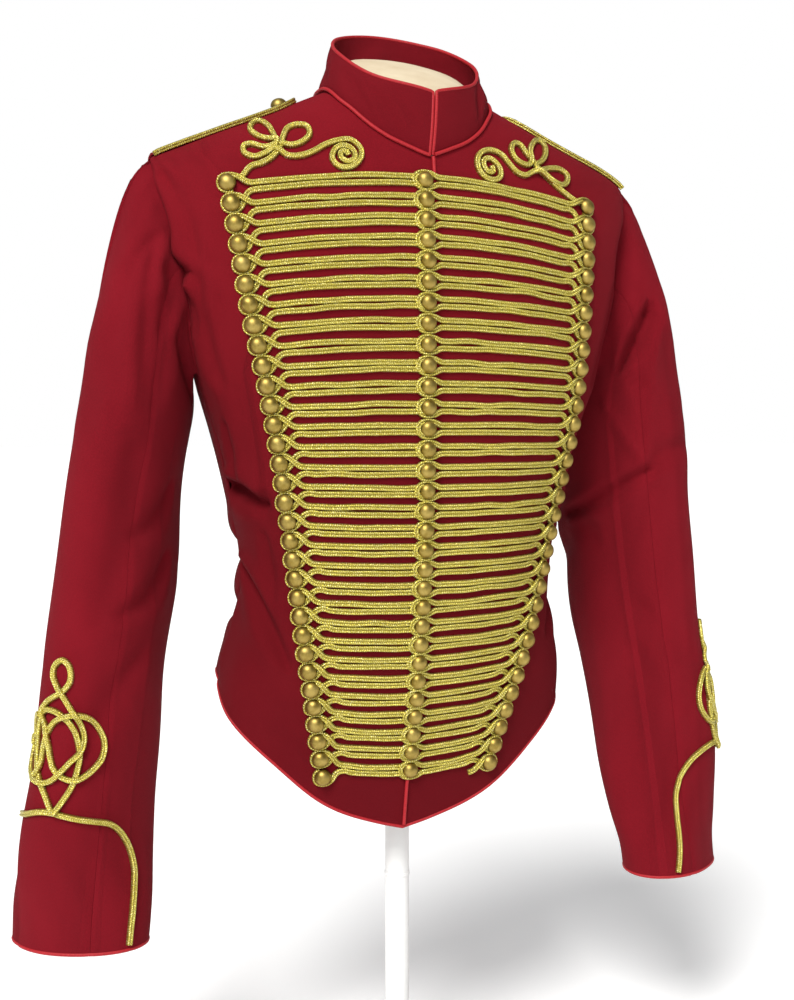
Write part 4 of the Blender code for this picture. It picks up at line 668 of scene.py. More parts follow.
# creases: hand, degrees forward and height of one end, of the other end, bow, width, depth, lip in millimetres
sleeveCreases = [
    (1, 64, 724, 114, 664, 0, 6.8, 15, 5.5), (1, 66, 704, 87, 581, 4, 4.5, -3, 0),
    (1, 135, 634, 86, 572, -1, 4.5, -3.8, 0), (1, 193, 528, 86, 571, 3, 5.2, 6.4, 3.4),
    (1, 86, 572, 49, 596, -4, 8, 3.8, 1.4), (1, 101, 658, 81, 647, 1, 5, 3.2, 1.6),
    (1, 100, 712, 47, 747, 0, 9, 3.6, 1.4), (1, 180, 526, 156, 499, -1, 8, 2.8, 1.2),
    (1, 65, 698, 56, 639, 0, 9, 3, 1.2), (1, 110, 440, 60, 390, 6, 10, 3.6, 1.4),
    (1, 130, 400, 85, 340, 4, 11, 3, 1.2), (1, 230, 540, 310, 505, 8, 10, 5.8, 2.4),
    (1, 245, 450, 320, 462, -6, 10, 4.8, 2), (1, 200, 500, 250, 410, 6, 12, 3.6, 1.4),
    (1, 300, 640, 280, 570, 4, 12, 3.4, 1.4), (-1, 54, 769, 47, 750, 1, 6, 3.6, 1.4),
    (-1, 60, 755, 81, 629, 4, 4.2, 3.8, 1.8), (-1, 83, 714, 91, 629, 3, 10, 4.4, 1.8),
    (-1, 80, 742, 94, 688, 9, 8, 4, 1.6), (-1, 46, 695, 45, 612, 0, 12, 4.4, 1.8),
    (-1, 49, 740, 63, 654, 1, 12, 3.4, 1.4), (-1, 120, 684, 176, 639, 1, 8, 3.8, 1.4),
    (-1, 60, 632, 80, 622, -3, 6, 3, 1.2), (-1, 80, 590, 70, 450, 6, 12, 3.6, 1.4),
    (-1, 150, 500, 88, 455, 6, 8.5, 4.8, 2), (-1, 145, 560, 95, 520, 4, 8.5, 3.6, 1.6),
    (-1, 120, 420, 70, 345, -6, 11, 3.2, 1.2), (-1, 230, 535, 310, 500, 8, 10, 5.8, 2.4),
    (-1, 245, 445, 320, 458, -6, 10, 4.8, 2), (-1, 200, 490, 252, 405, 6, 12, 3.6, 1.4),
    (-1, 300, 650, 280, 575, 4, 12, 3.4, 1.4)]


def sleevePoint(hand, angle, height):
    angle, height = np.broadcast_arrays(np.asarray(angle, float), np.asarray(height, float))
    x, y, longHalf, shortHalf, lean = (read(sleeveLevels, column, height) for column in (
        "x", "y", "longHalf", "shortHalf", "turn"))
    turn, away = np.radians(angle), np.radians(angle - lean)
    reach = 1 / np.hypot(np.cos(away) / longHalf, np.sin(away) / shortHalf)
    return np.stack([hand * (x + reach * np.cos(turn)), y - reach * np.sin(turn), height], -1)


def bezier(a, b, c, d, t):
    return a * (1 - t) ** 3 + 3 * b * t * (1 - t) ** 2 + 3 * c * t * t * (1 - t) + d * t ** 3


class Sleeve:
    def __init__(self, hand):
        self.hand, low = hand, panelNet["low"]
        starts = []
        for part, rows in (("front", range(topRow, low - 1, -1)), ("back", range(low + 1, topRow))):
            panel, rows = panels[part, hand], np.array(rows)
            edge = panel.points[rows, -1]
            away = unit(edge - panel.points[rows, -3])
            away[rows == low] = panel.normals[low, -1]
            starts.append(edge + away * body["seam"] * 1.2)
        starts = np.concatenate(starts)
        lengths = np.linalg.norm(np.roll(starts, -1, axis=0) - starts, axis=1)
        self.angles = angles = np.concatenate([[0], np.cumsum(lengths)[:-1]]) / lengths.sum() * 360
        turn = np.radians(angles)
        bare = np.concatenate([self.cap(starts), sleevePoint(hand, angles[None], np.linspace(
            sleeveNet["top"], sleeveNet["cuff"], sleeveNet["arm"] + 1)[1:, None])])
        guide = unit(bare - bare.mean(axis=1, keepdims=True))
        lift = self.folds(bare[..., 2])
        rise = np.linalg.norm(bare - bare[:1], axis=2)
        depth, width = sleeveNet["sewnIn"]      # drawn in at the armhole seam
        lift -= depth * np.exp(-(rise / width) ** 2)
        depth, width = sleeveNet["pleats"]      # eased-in fullness of the head
        pleats = np.sin(turn * 23 + 1.3 * np.sin(turn * 5)) * np.clip(np.cos(turn), 0, 1) ** 0.5
        lift += depth * pleats[None] * np.exp(-((rise - width) / width) ** 2)
        depth, width = sleeveNet["seam"]
        for seam in (sleeveNet["frontSeam"], sleeveNet["backSeam"]):
            gap = (angles - angles[seam] + 180) % 360 - 180
            lift -= depth * np.exp(-(np.radians(gap) * sleeveNet["reach"] / width) ** 2)[None]
        self.points = bare + gridNormals(bare, guide, wrap=True) * lift[..., None]
        self.points[0] = bare[0]
        self.normals = gridNormals(self.points, guide, wrap=True)

    def cap(self, starts):      # from the armhole to the top of the arm
        hand, angles, count = self.hand, self.angles, sleeveNet["cap"]
        side, forward, down = sleeveNet["leave"]
        out = unit(np.stack([np.full(len(angles), hand * side), forward * np.sin(np.radians(angles)),
                             np.full(len(angles), down)], -1))
        low = sleevePoint(hand, angles, sleeveNet["top"])
        drop = unit(low - sleevePoint(hand, angles, sleeveNet["top"] - 0.01))
        span = np.linalg.norm(low - starts, axis=1)[:, None]
        cap = bezier(starts[None], starts + out * span * sleeveNet["headHandle"][hand],
                     low + drop * span * sleeveNet["armHandle"][hand], low,
                     np.linspace(0, 1, count + 1)[:, None, None])
        for row in range(1, count):     # the head is rounder than the armhole it leaves
            for _ in range(round(sleeveNet["round"] * math.sin(math.pi * row / count) ** 0.8)):
                cap[row] = cap[row] * 0.5 + (np.roll(cap[row], 1, axis=0) + np.roll(cap[row], -1, axis=0)) * 0.25
        return cap

    def folds(self, heights):
        total = ease(np.radians(self.angles)[None] * sleeveNet["reach"], heights, sleeveNet["ease"],
                     sleeveNet["seed"] + self.hand)
        step = math.radians(1) * sleeveNet["reach"]
        for hand, a, ha, b, hb, *rest in sleeveCreases:
            if hand == self.hand:
                turn = (self.angles - a + 180) % 360 - 180
                crease = (0.0, ha, (b - a) * step * 1000, hb, *rest)
                total = total + creaseField(turn[None] * step, heights, [crease])
        return total

    def part(self, first, last):
        columns = [k % len(self.angles) for k in range(first, last + 1)]
        points, normals = self.points[:, columns].copy(), self.normals[:, columns].copy()
        for edge, beside in ((0, 1), (-1, -2)):     # a groove that closes at the inner wall
            inward = unit(points[:, beside] - points[:, edge]) * body["seam"] * 0.5
            points[:, edge] += inward
            normals[:, edge] += inward * 0.96 / body["cloth"]
        return points, normals

    def place(self, angle, height, lift):       # below the cap: places on the cloth, and its normals
        angle, height = np.broadcast_arrays(np.asarray(angle, float) % 360, np.asarray(height, float))
        j = np.searchsorted(self.angles, angle, side="right") - 1
        after = np.append(self.angles, 360.0)[j + 1]
        s = ((angle - self.angles[j]) / (after - self.angles[j]))[..., None]
        down = (sleeveNet["top"] - height) / (sleeveNet["top"] - sleeveNet["cuff"]) * sleeveNet["arm"]
        i = np.clip(down.astype(int), 0, sleeveNet["arm"] - 1)
        t = (down - i)[..., None]
        i, n = i + sleeveNet["cap"], (j + 1) % len(self.angles)
        points, normals = (between(net, i, i + 1, j, n, t, s) for net in (self.points, self.normals))
        return points + unit(normals) * np.asarray(lift)[..., None], unit(normals)


sleeves = {}
for hand, side in sides.items():
    sleeve = sleeves[hand] = Sleeve(hand)
    front, back = sleeveNet["frontSeam"], sleeveNet["backSeam"]
    for part, first, last in (("Upper", back - len(sleeve.angles), front), ("Under", front, back)):
        piece = clothShell("sleeve" + side + part, *sleeve.part(first, last), body["cloth"], sleeveTwill)
        sewSheet(piece, "sleeve_" + side.lower() + "_" + part.lower(), "hung", ["front" + side, "back" + side],
                 **sleeveCuts[part])
print("sleeves made")

# cords, braids and buttons: node trees
def makerTree(name, sockets):       # the tree with its identifiers, its inputs as fields, its output node
    tree = bpy.data.node_groups.new(name, "GeometryNodeTree")
    tree.interface.new_socket("Geometry", in_out="INPUT", socket_type="NodeSocketGeometry")
    found = {label: tree.interface.new_socket(label, in_out="INPUT", socket_type="NodeSocket" + kind).identifier
             for label, kind in sockets.items()}
    tree.interface.new_socket("Geometry", in_out="OUTPUT", socket_type="NodeSocketGeometry")
    given = tree.nodes.new("NodeGroupInput")
    fields = {label: Field(given.outputs[label]) for label in ("Geometry", *sockets)}
    return {"tree": tree, "sockets": found}, fields, tree.nodes.new("NodeGroupOutput")


def named(tree, name, kind="FLOAT"):
    return addNode(tree, "GeometryNodeInputNamedAttribute", {"Name": name}, "Attribute", data_type=kind)


def withAcross(curve, value):
    return addNode(curve.tree, "GeometryNodeStoreNamedAttribute", {
        "Name": "across", "Geometry": curve, "Value": value}, data_type="FLOAT", domain="POINT")


def painted(pieces, finish):
    whole = addNode(pieces.tree, "GeometryNodeRealizeInstances", {0: pieces})
    return addNode(pieces.tree, "GeometryNodeSetMaterial", {"Geometry": whole, "Material": finish})


def alongPath(given, profile, turned):      # a profile carried along every path of the mesh
    tree = profile.tree
    line = addNode(tree, "GeometryNodeMeshToCurve", {"Mesh": given["Geometry"]})
    if turned:
        line = addNode(tree, "GeometryNodeSetCurveNormal", {
            "Curve": line, "Normal": named(tree, "clothNormal", "FLOAT_VECTOR")}, mode="FREE")
    thick = named(tree, "thick")
    sized = addNode(tree, "GeometryNodeSetCurveRadius", {"Curve": line, "Radius": thick})
    tube = addNode(tree, "GeometryNodeCurveToMesh", {
        "Fill Caps": True, "Curve": sized, "Profile Curve": profile, "Scale": thick})
    return painted(addNode(tree, "GeometryNodeSetShadeSmooth", {0: tube}), given["Finish"])


def braidTree():        # two ribs with a groove between them on a flat foot
    maker, given, put = makerTree("layBraid", {
        "Half Width": "Float", "Rise": "Float", "Groove": "Float", "Foot": "Float", "Finish": "Material"})
    tree = maker["tree"]
    line = addNode(tree, "GeometryNodeCurvePrimitiveLine", {"Start": (-1, 0, 0), "End": (1, 0, 0)})
    cut = addNode(tree, "GeometryNodeResampleCurve", {"Count": 13, "Curve": line})
    across = addNode(tree, "ShaderNodeSeparateXYZ", {0: addNode(tree, "GeometryNodeInputPosition")})
    rib = abs(across) * 2.0 - 1.0
    hump = addNode(tree, "ShaderNodeMath", {0: 1.0, 1: rib * rib}, operation="SUBTRACT", use_clamp=True)
    hump = hump.does("SQRT")
    tall = hump.does("MAXIMUM", abs(across).does("LESS_THAN", 0.6) * given["Groove"]) * given["Rise"]
    shaped = addNode(tree, "ShaderNodeCombineXYZ", {0: tall + given["Foot"], 1: across * given["Half Width"]})
    moved = addNode(tree, "GeometryNodeSetPosition", {"Geometry": withAcross(cut, across), "Position": shaped})
    closed = addNode(tree, "GeometryNodeSetSplineCyclic", {"Cyclic": True, 0: moved})
    feed(put, {0: alongPath(given, closed, True)})
    return maker


def cordTree():     # a round cord
    maker, given, put = makerTree("layCord", {"Radius": "Float", "Sides": "Int", "Finish": "Material"})
    tree = maker["tree"]
    ring = addNode(tree, "GeometryNodeCurvePrimitiveCircle", {
        "Resolution": given["Sides"], "Radius": given["Radius"]})
    share = addNode(tree, "GeometryNodeInputIndex") / given["Sides"]
    feed(put, {0: alongPath(given, withAcross(ring, share), False)})
    return maker


def buttonTree():       # a dome on every point, standing on the cloth
    maker, given, put = makerTree("setButtons", {"Dome": "Object", "Finish": "Material"})
    tree = maker["tree"]
    lean = addNode(tree, "FunctionNodeAlignRotationToVector", {
        "Vector": named(tree, "clothNormal", "FLOAT_VECTOR")}, axis="Z")
    shape = addNode(tree, "GeometryNodeObjectInfo", {"Object": given["Dome"]}, "Geometry")
    placed = addNode(tree, "GeometryNodeInstanceOnPoints", {
        "Points": given["Geometry"], "Instance": shape, "Rotation": lean, "Scale": named(tree, "thick")})
    feed(put, {0: painted(placed, given["Finish"])})
    return maker


braidMaker, cordMaker, buttonMaker = braidTree(), cordTree(), buttonTree()


def pathMesh(name, paths):      # paths: places, cloth normals, thickness, closed or not
    places, edges, ups, alongs, thicks = [], [], [], [], []
    for path in paths:
        spots = np.asarray(path["places"], float)
        first, count = len(places), len(spots)
        places.extend(map(tuple, spots))
        edges += [(first + k, first + k + 1) for k in range(count - 1)]
        if path.get("closed"):
            edges.append((first + count - 1, first))
        ups.append(path.get("normals", np.tile([0.0, 0.0, 1.0], (count, 1))))
        alongs.append(path.get("start", 0.0) + runAlong(spots))
        thicks.append(np.broadcast_to(path.get("thick", 1.0), count))
    mesh = bpy.data.meshes.new(name)
    mesh.from_pydata(places, edges, [])
    for label, kind, field, values in (("clothNormal", "FLOAT_VECTOR", "vector", ups),
                                       ("along", "FLOAT", "value", alongs), ("thick", "FLOAT", "value", thicks)):
        layer = mesh.attributes.new(label, kind, "POINT")
        layer.data.foreach_set(field, np.concatenate(values).astype(np.float32).ravel())
    return mesh


def lay(name, paths, maker, settings, node):      # runs a tree on paths and keeps the plain result
    mesh = pathMesh(name, paths)
    piece = finished(name, mesh)
    worker = piece.modifiers.new("maker", "NODES")
    worker.node_group = maker["tree"]
    for label, value in settings.items():
        worker[maker["sockets"][label]] = value
    sight = bpy.context.evaluated_depsgraph_get()
    made = bpy.data.meshes.new_from_object(
        piece.evaluated_get(sight), preserve_all_data_layers=True, depsgraph=sight)
    piece.modifiers.clear()
    piece.data = made
    bpy.data.meshes.remove(mesh)
    made.name = name
    turnOutward(made)
    dress(piece, node)


def layBraid(name, paths, look, finish, node):
    lay(name, paths, braidMaker, {"Half Width": look["halfWidth"], "Rise": look["rise"], "Groove": look["groove"],
                                  "Foot": look["foot"], "Finish": finish}, node)


def curveThrough(stops, fine, coarse):      # a round curve through stops; long straight runs get fewer points
    stops = np.asarray(stops, float)
    ends = np.concatenate([[2 * stops[0] - stops[1]], stops, [2 * stops[-1] - stops[-2]]])
    out = []
    for k in range(len(stops) - 1):
        a, b, c, d = ends[k:k + 4]
        knots = [0.0]
        for p, q in ((a, b), (b, c), (c, d)):
            knots.append(knots[-1] + max(np.linalg.norm(q[:2] - p[:2]), 1e-6) ** 0.5)
        length = np.linalg.norm(c[:2] - b[:2])
        steps = max(int(math.ceil(length / (fine if length < 0.0085 else coarse))), 1)
        t = np.linspace(knots[1], knots[2], steps + 1)[:-1, None]

        def blend(p, q, low, high):
            return (high - t) / (high - low) * p + (t - low) / (high - low) * q
        ab, bc, cd = blend(a, b, *knots[0:2]), blend(b, c, *knots[1:3]), blend(c, d, *knots[2:4])
        abc = blend(ab, bc, knots[0], knots[2])
        bcd = blend(bc, cd, knots[1], knots[3])
        out.append(blend(abc, bcd, knots[1], knots[2]))
    out.append(stops[-1:])
    return np.concatenate(out)


def overItself(route, reach, rise, base):       # later stretches ride over earlier ones where they cross
    lifts = np.full(len(route), base)
    flat = route[:, :2]
    for k in range(len(route)):
        early = flat[:max(k - 7, 0)]
        if len(early):
            away = np.linalg.norm(early - flat[k], axis=1)
            near = np.clip(1 - (away / reach) ** 2, 0, 1)
            lifts[k] = max(base, float(np.max(np.minimum(lifts[:len(early)], base + rise) + rise * near * (near > 0)
                                              - (near <= 0))))
    soft = np.convolve(np.pad(lifts, 2, mode="edge"), np.ones(5) / 5, mode="valid")
    return np.maximum(soft, base)


# rows of braid on the fronts
braidRows = table("row height right left riseRight riseLeft", [
    (1, 0.8188, 0.1728, 0.1545, -0.0150, -0.0180), (3, 0.7850, 0.1685, 0.1535, -0.0145, -0.0155),
    (6, 0.7334, 0.1613, 0.1520, -0.0120, -0.0100), (11, 0.6452, 0.1443, 0.1470, -0.0055, -0.004),
    (16, 0.5569, 0.1300, 0.1370, 0.003, 0.003), (21, 0.4733, 0.1180, 0.1220, 0.005, 0.005),
    (26, 0.3912, 0.1035, 0.0990, 0.007, 0.007), (31, 0.3090, 0.0884, 0.0760, 0.010, 0.010),
    (32, 0.2925, 0.0855, 0.0720, 0.010, 0.010)])
frogs = {"rows": 31, "middle": -0.0065, "outerStep": 0.0055, "strand": 0.0030, "halfWidth": 0.00285, "rise": 0.0026,
         "groove": 0.42, "foot": -0.0002, "fine": 0.0016, "coarse": 0.0046, "seed": 11, "wander": 0.00034,
         "lift": 0.0002, "stopEvery": 0.019, "turnRoom": 0.0250, "innerEnd": {-1: -0.0062, 1: 0.0200},
         "slopeFrom": 0.006, "slopeOver": 0.008, "nextStart": 0.37}
# round an outer button: inboard, up, lift in millimetres, thickness
outerTurn = [
    (21, -2.5, 0.3, 1), (15.8, -1.5, 1, 1), (11.5, 1.8, 2.6, 0.96), (7.5, 5, 2.6, 0.92), (3, 6.6, 1.4, 0.9),
    (-2.5, 6.2, 0.8, 0.9), (-5.8, 3.6, 0.5, 0.9), (-6.8, -0.4, 0.4, 0.9), (-5.4, -4.4, 0.4, 0.9),
    (-1.2, -6.3, 0.4, 0.9), (4.2, -5.6, 0.4, 0.92), (8, -2.4, 0.2, 0.96), (10.8, 3, 0.1, 1), (13.8, 6.8, 0.1, 1),
    (17.2, 8.3, 0.2, 1), (21, 8.5, 0.3, 1)]
# round a middle button: outboard, up, lift in millimetres, thickness
middleTurn = [
    (16.5, 3, 0.3, 1), (12.5, 3.1, 0.6, 0.98), (9.5, 4, 1, 0.95), (5.5, 5.8, 1.2, 0.9), (-1, 6.6, 1.2, 0.9),
    (-6.2, 5.4, 1.1, 0.9), (-9, 2.1, 1, 0.9), (-9, -2.1, 1, 0.9), (-6.2, -5.4, 1.1, 0.9), (-1, -6.6, 1.2, 0.9),
    (5.5, -5.8, 1.2, 0.9), (9.5, -4, 1, 0.95), (12.5, -3.1, 0.6, 0.98), (16.5, -3, 0.3, 1)]


def inMetres(stops):
    return [(out / 1000, up / 1000, lift / 1000, thick) for out, up, lift, thick in stops]


def rowValue(name, row):
    return float(read(braidRows, name, row))


def rowHeight(hand, row, run):
    reach, rise = rowValue(sides[hand].lower(), row), rowValue("rise" + sides[hand], row)
    return rowValue("height", row) + rise * (run / reach) ** 2


def outerButton(hand, row):
    run = hand * rowValue(sides[hand].lower(), row)
    return run, rowHeight(hand, row, run) + frogs["outerStep"]


wander = np.random.default_rng(frogs["seed"])


def strandStops(hand, row, side, outer):        # stops from the middle outwards; side is +1 upper, -1 lower
    inner = frogs["middle"] + frogs["innerEnd"][hand]
    count = max(int(round(abs(outer - inner) / frogs["stopEvery"])), 2)
    stops = []
    for k in range(count + 1):
        run = inner + (outer - inner) * k / count
        loose = wander.normal(0, frogs["wander"]) if 0 < k < count else 0.0
        stops.append((run, rowHeight(hand, row, run) + side * frogs["strand"] + loose, frogs["lift"], 1.0))
    return stops


def turnStops(hand, row):       # the turn eases into the slope of its row
    run, height = outerButton(hand, row)
    stops = []
    for inboard, up, lift, thick in inMetres(outerTurn):
        at = run - hand * inboard
        slope = rowHeight(hand, row, at) - rowHeight(hand, row, run)
        share = min(max((inboard - frogs["slopeFrom"]) / frogs["slopeOver"], 0), 1)
        stops.append((at, height + up + slope * share, lift, thick))
    return stops


def frogRoutes(hand):       # the first braid starts, and the last one ends, beside its button's turn
    last, middle, routes, path = frogs["rows"], frogs["middle"], [], []
    for row in range(1, last + 2):
        outer = outerButton(hand, row)[0] - hand * frogs["turnRoom"]
        ring = turnStops(hand, row)
        up = strandStops(hand, row, 1, outer) if row <= last else []
        down = strandStops(hand, row - 1, -1, outer) if row > 1 else []
        if hand < 0:
            routes.append(up + (ring[:11] if row == 1 else ring if up else ring[5:]) + down[::-1])
            continue
        if row > 1:     # on the left one braid runs through all rows, round each middle button
            level = rowHeight(1, row - 1, middle)
            path += [(middle + outboard, level + rise, lift, thick)
                     for outboard, rise, lift, thick in inMetres(middleTurn)]
        path += down + (ring[::-1] if row > 1 else ring[10::-1]) + up[::-1]
    return routes if hand < 0 else [path]


def onFront(route):
    run, height, lift, thick = np.asarray(route).T
    shape = faces[-1]
    return {"places": shape.point(run, height, lift), "normals": shape.normal(run, height), "thick": thick}


for hand, side in sides.items():
    paths = [onFront(curveThrough(route, frogs["fine"], frogs["coarse"])) for route in frogRoutes(hand)]
    for k, path in enumerate(paths):
        path["start"] = k * frogs["nextStart"]
    layBraid("braid" + side, paths, frogs, goldBraid, "frogging_" + side.lower())
print("rows of braid laid")

# domed buttons
button = {"radius": 0.0074, "height": 0.0072, "sides": 28, "lift": 0.0012, "middleSize": 0.94, "tilt": 0.05,
          "seed": 5, "profile": [(0.0, 0.0), (0.80, 0.0), (0.95, 0.06), (1.0, 0.15), (0.985, 0.25), (0.93, 0.44),
                                 (0.82, 0.63), (0.66, 0.79), (0.46, 0.91), (0.23, 0.98), (0.0, 1.0)]}


def lathe(name, profile, count, finish, sharp=50):      # from the axis at the foot to the axis at the top
    turn = np.linspace(0, 2 * math.pi, count, endpoint=False)
    points = [(0.0, 0.0, profile[0][1])]
    for radius, height in profile[1:-1]:
        points += list(zip(radius * np.cos(turn), radius * np.sin(turn), np.full(count, height)))
    points.append((0.0, 0.0, profile[-1][1]))
    last = len(points) - 1
    quads = []
    for k in range(count):
        n = (k + 1) % count
        quads.append((0, 1 + n, 1 + k))
        for ring in range(len(profile) - 3):
            a = 1 + ring * count
            quads.append((a + k, a + n, a + count + n, a + count + k))
        quads.append((last - count + k, last - count + n, last))
    return meshFrom(name, points, quads, finish, sharp)


def setButtons(name, seats, leans, sizes, node):
    lay(name, [{"places": seats, "normals": leans, "thick": sizes}], buttonMaker, {"Dome": dome, "Finish": brass},
        node)


domeMesh = lathe("dome", [(r * button["radius"], z * button["height"]) for r, z in button["profile"]],
                 button["sides"], brass)
riseLayer = domeMesh.attributes.new("rise", "FLOAT", "POINT")
riseLayer.data.foreach_set("value", [v.co.z / button["height"] for v in domeMesh.vertices])
dome = finished("dome", domeMesh)
tilts = np.random.default_rng(button["seed"])
for hand, side in sides.items():
    spots = [(*outerButton(hand, row), 1.0) for row in range(1, frogs["rows"] + 2)]
    if hand > 0:
        spots += [(frogs["middle"], rowHeight(1, row, frogs["middle"]), button["middleSize"])
                  for row in range(1, frogs["rows"] + 1)]
    run, height, size = np.array(spots).T
    lean = unit(faces[-1].normal(run, height) + tilts.normal(0, button["tilt"], (len(run), 3)))
    seats = faces[-1].point(run, height, button["lift"])
    setButtons("buttons" + side, seats, lean, size, "frogging_" + side.lower())
print("buttons set")

# looped knots over the first row: distance round and height in millimetres
knot = {"halfWidth": 0.0027, "rise": 0.0034, "groove": 0.78, "foot": -0.0003, "step": 0.0014, "over": 0.0046,
        "layer": 0.0019, "base": 0.0003, "aside": 0.0010, "drop": -0.0016}
chestKnots = {
    -1: [
        (161, 814), (157.5, 818.8), (151.8, 825.1), (141.4, 829.1), (132.9, 834.8), (125.9, 843.7), (122.3, 852),
        (117.1, 860.5), (108.6, 864), (101.2, 862.4), (100.3, 855.7), (106.5, 849), (114.9, 845.5), (121.3, 845.4),
        (127.4, 847), (129.4, 855.3), (131.6, 863.4), (136.6, 868.5), (143.2, 864.9), (145.9, 858.3),
        (141.7, 852.8), (133.9, 850.2), (127.9, 848.6), (129, 845.2), (133.6, 843.6), (139.4, 842.7),
        (148.8, 845.2), (154.8, 842.8), (155.1, 837), (147.8, 833.8), (138.9, 837.1), (130.8, 841), (125.9, 838.9),
        (120.6, 835.8), (110.5, 836.1), (99.1, 840.4), (88.8, 846.4), (78, 850.3), (67.5, 851.3), (60.1, 844.5),
        (60.3, 836.6), (68.7, 828.5), (79.3, 828), (84.5, 833.9), (82.1, 841.9), (76.3, 845.6), (69.8, 845),
        (65.5, 840.3), (66.4, 834.8), (72, 832.5), (77, 835.2), (77, 840), (72.8, 840.8), (70.8, 837.8)],
    1: [
        (156, 808), (150, 811.2), (141.4, 813.1), (131, 819), (119, 827.8), (109.1, 837.8), (102.7, 846.3),
        (96.2, 853.4), (91.6, 860.6), (85.3, 861.4), (80.8, 855), (83, 847.5), (90.2, 843.4), (99, 843.8),
        (100.9, 854.4), (107, 863.4), (116, 869), (122, 865), (119, 855.1), (112.1, 847.5), (104.1, 842.4),
        (106.2, 837.8), (117.2, 840.8), (130.1, 841.4), (137.5, 836.2), (134.9, 828.9), (126.1, 826.1),
        (118, 828.7), (111, 834), (103, 837.1), (91.6, 832.9), (82.9, 835.1), (75.2, 842.2), (68.6, 849.1),
        (59.1, 852.1), (49.5, 849.6), (44.2, 842.8), (44.5, 833.5), (49.2, 827.7), (57.4, 825.3), (64.7, 828.5),
        (65.5, 834.9), (61, 841.7), (54.5, 844.4), (50, 841.7), (50.1, 835.9), (53.8, 832), (58.2, 833),
        (57.2, 837.5)]}


def knotRoute(stops):
    return curveThrough(stops, knot["step"], knot["step"])


def knotLifts(route):
    return overItself(route, knot["over"], knot["layer"], knot["base"])


for hand, side in sides.items():
    route = knotRoute([(hand * (run / 1000 + knot["aside"]), height / 1000 + knot["drop"])
                       for run, height in chestKnots[hand]])
    path = onFront(np.column_stack([route, knotLifts(route), np.ones(len(route))]))
    layBraid("chestKnot" + side, [path], knot, goldCord, "chest_knot_" + side.lower())

# cuff ornament: degrees from the knot's middle line, height in millimetres
cuffs = {"line": {-1: 43.0, 1: 33.0}, "spread": {-1: 1.0, 1: 0.62}, "cordLine": 43.0, "reach": 0.050}
cuffHeart = [
    (4, 297.5), (0.7, 303), (-3.7, 312.4), (-9.9, 323.2), (-14.8, 333.9), (-16.4, 343.7), (-17.6, 361.5),
    (-15, 374.5), (-8.6, 380.3), (0.4, 379.6), (10.4, 372.6), (16.3, 364.2), (20, 354.2), (22.4, 342.4),
    (20.9, 331), (17.6, 319.5), (11, 308), (4, 297.5)]
cuffLoops = [
    (-14.5, 327), (-12.1, 331), (-10, 339), (-8.8, 350), (-7, 359), (-3.1, 366.9), (2.6, 373.2), (14.6, 376.7),
    (27, 373.5), (38.1, 364.2), (44.3, 351.9), (42.6, 340.5), (32.6, 330), (21.3, 324.3), (11.8, 325.5),
    (2.7, 332.8), (-1.3, 342.4), (-3.8, 352), (-6.9, 364.8), (-11.1, 371.2), (-13.1, 378.8), (-9.3, 385.9),
    (-1.5, 391.8), (4.2, 395.2), (9.8, 403.1), (10.4, 410.5), (7.9, 417.9), (2.8, 421.4), (-2.6, 417.2),
    (-3.8, 408.9), (-0.6, 401.7), (4.2, 395.2), (12, 382.5), (17.8, 374.1), (23.1, 363.9), (24.6, 355.5),
    (21.4, 345.8), (14.1, 338), (8.4, 331.3), (1.5, 324.4), (-5.6, 321.5), (-17, 323.5), (-30, 330), (-41, 341),
    (-43.5, 352), (-37, 364.2), (-26, 373.5), (-14, 376.5)]
cuffCords = {
    -1: [
        (83.1, 185), (84.9, 200.2), (88, 215.7), (91.2, 231.2), (92.5, 244), (89, 257.8), (82.6, 267.9),
        (71.7, 277.8), (58.6, 284.5), (42.6, 288.1), (25, 291.9), (11.4, 295.5), (3.2, 297.9), (-7.3, 298),
        (-27, 292.5), (-45, 288.5), (-62, 284), (-78, 274), (-88, 262), (-92, 245), (-90, 223), (-87, 202),
        (-85, 185)],
    1: [
        (69, 185), (64, 206), (61, 225), (59, 242), (56, 257), (49, 270), (38, 283), (24, 294.5), (9, 302),
        (0, 303.5), (-10, 301.5), (-27, 294), (-43, 286), (-54, 274), (-60, 258), (-63, 240), (-65, 223),
        (-69, 185)]}
for hand, side in sides.items():
    scale = math.radians(1) * cuffs["reach"]
    line, wide = cuffs["line"][hand], cuffs["spread"][hand]
    lines = (cuffs["cordLine"], line, line)
    routes = [knotRoute([(offset * spreadOut * scale, height / 1000) for offset, height in stops])
              for stops, spreadOut in ((cuffCords[hand], 1.0), (cuffHeart, wide), (cuffLoops, wide))]
    lifts = knotLifts(np.concatenate([route + [(own - line) * scale, 0] for route, own in zip(routes, lines)]))
    strands, first = [], 0
    for route, own in zip(routes, lines):
        last = first + len(route)
        places, normals = sleeves[hand].place(own + route[:, 0] / scale, route[:, 1], lifts[first:last])
        first = last
        strands.append({"places": places, "normals": normals})
    layBraid("cuffKnot" + side, strands, knot, goldCord, "cuff_knot_" + side.lower())
print("knots laid")

# collar
collar = {"middleY": -0.012, "halfWidth": 0.0655, "front": 0.065, "back": 0.068, "levels": 16, "thick": 0.0022,
          "edgeRoom": 0.0029, "shift": 0.003, "columns": 170, "bulge": 0.0016, "seat": 0.0005, "pipingRoom": 0.0004}
collarCut = {"flat": (0.430, 0.062), "area": 0.0205}
collarTop = table("turn height", [(0, 0.893), (45, 0.907), (90, 0.936), (135, 0.961), (180, 0.971), (225, 0.961)])
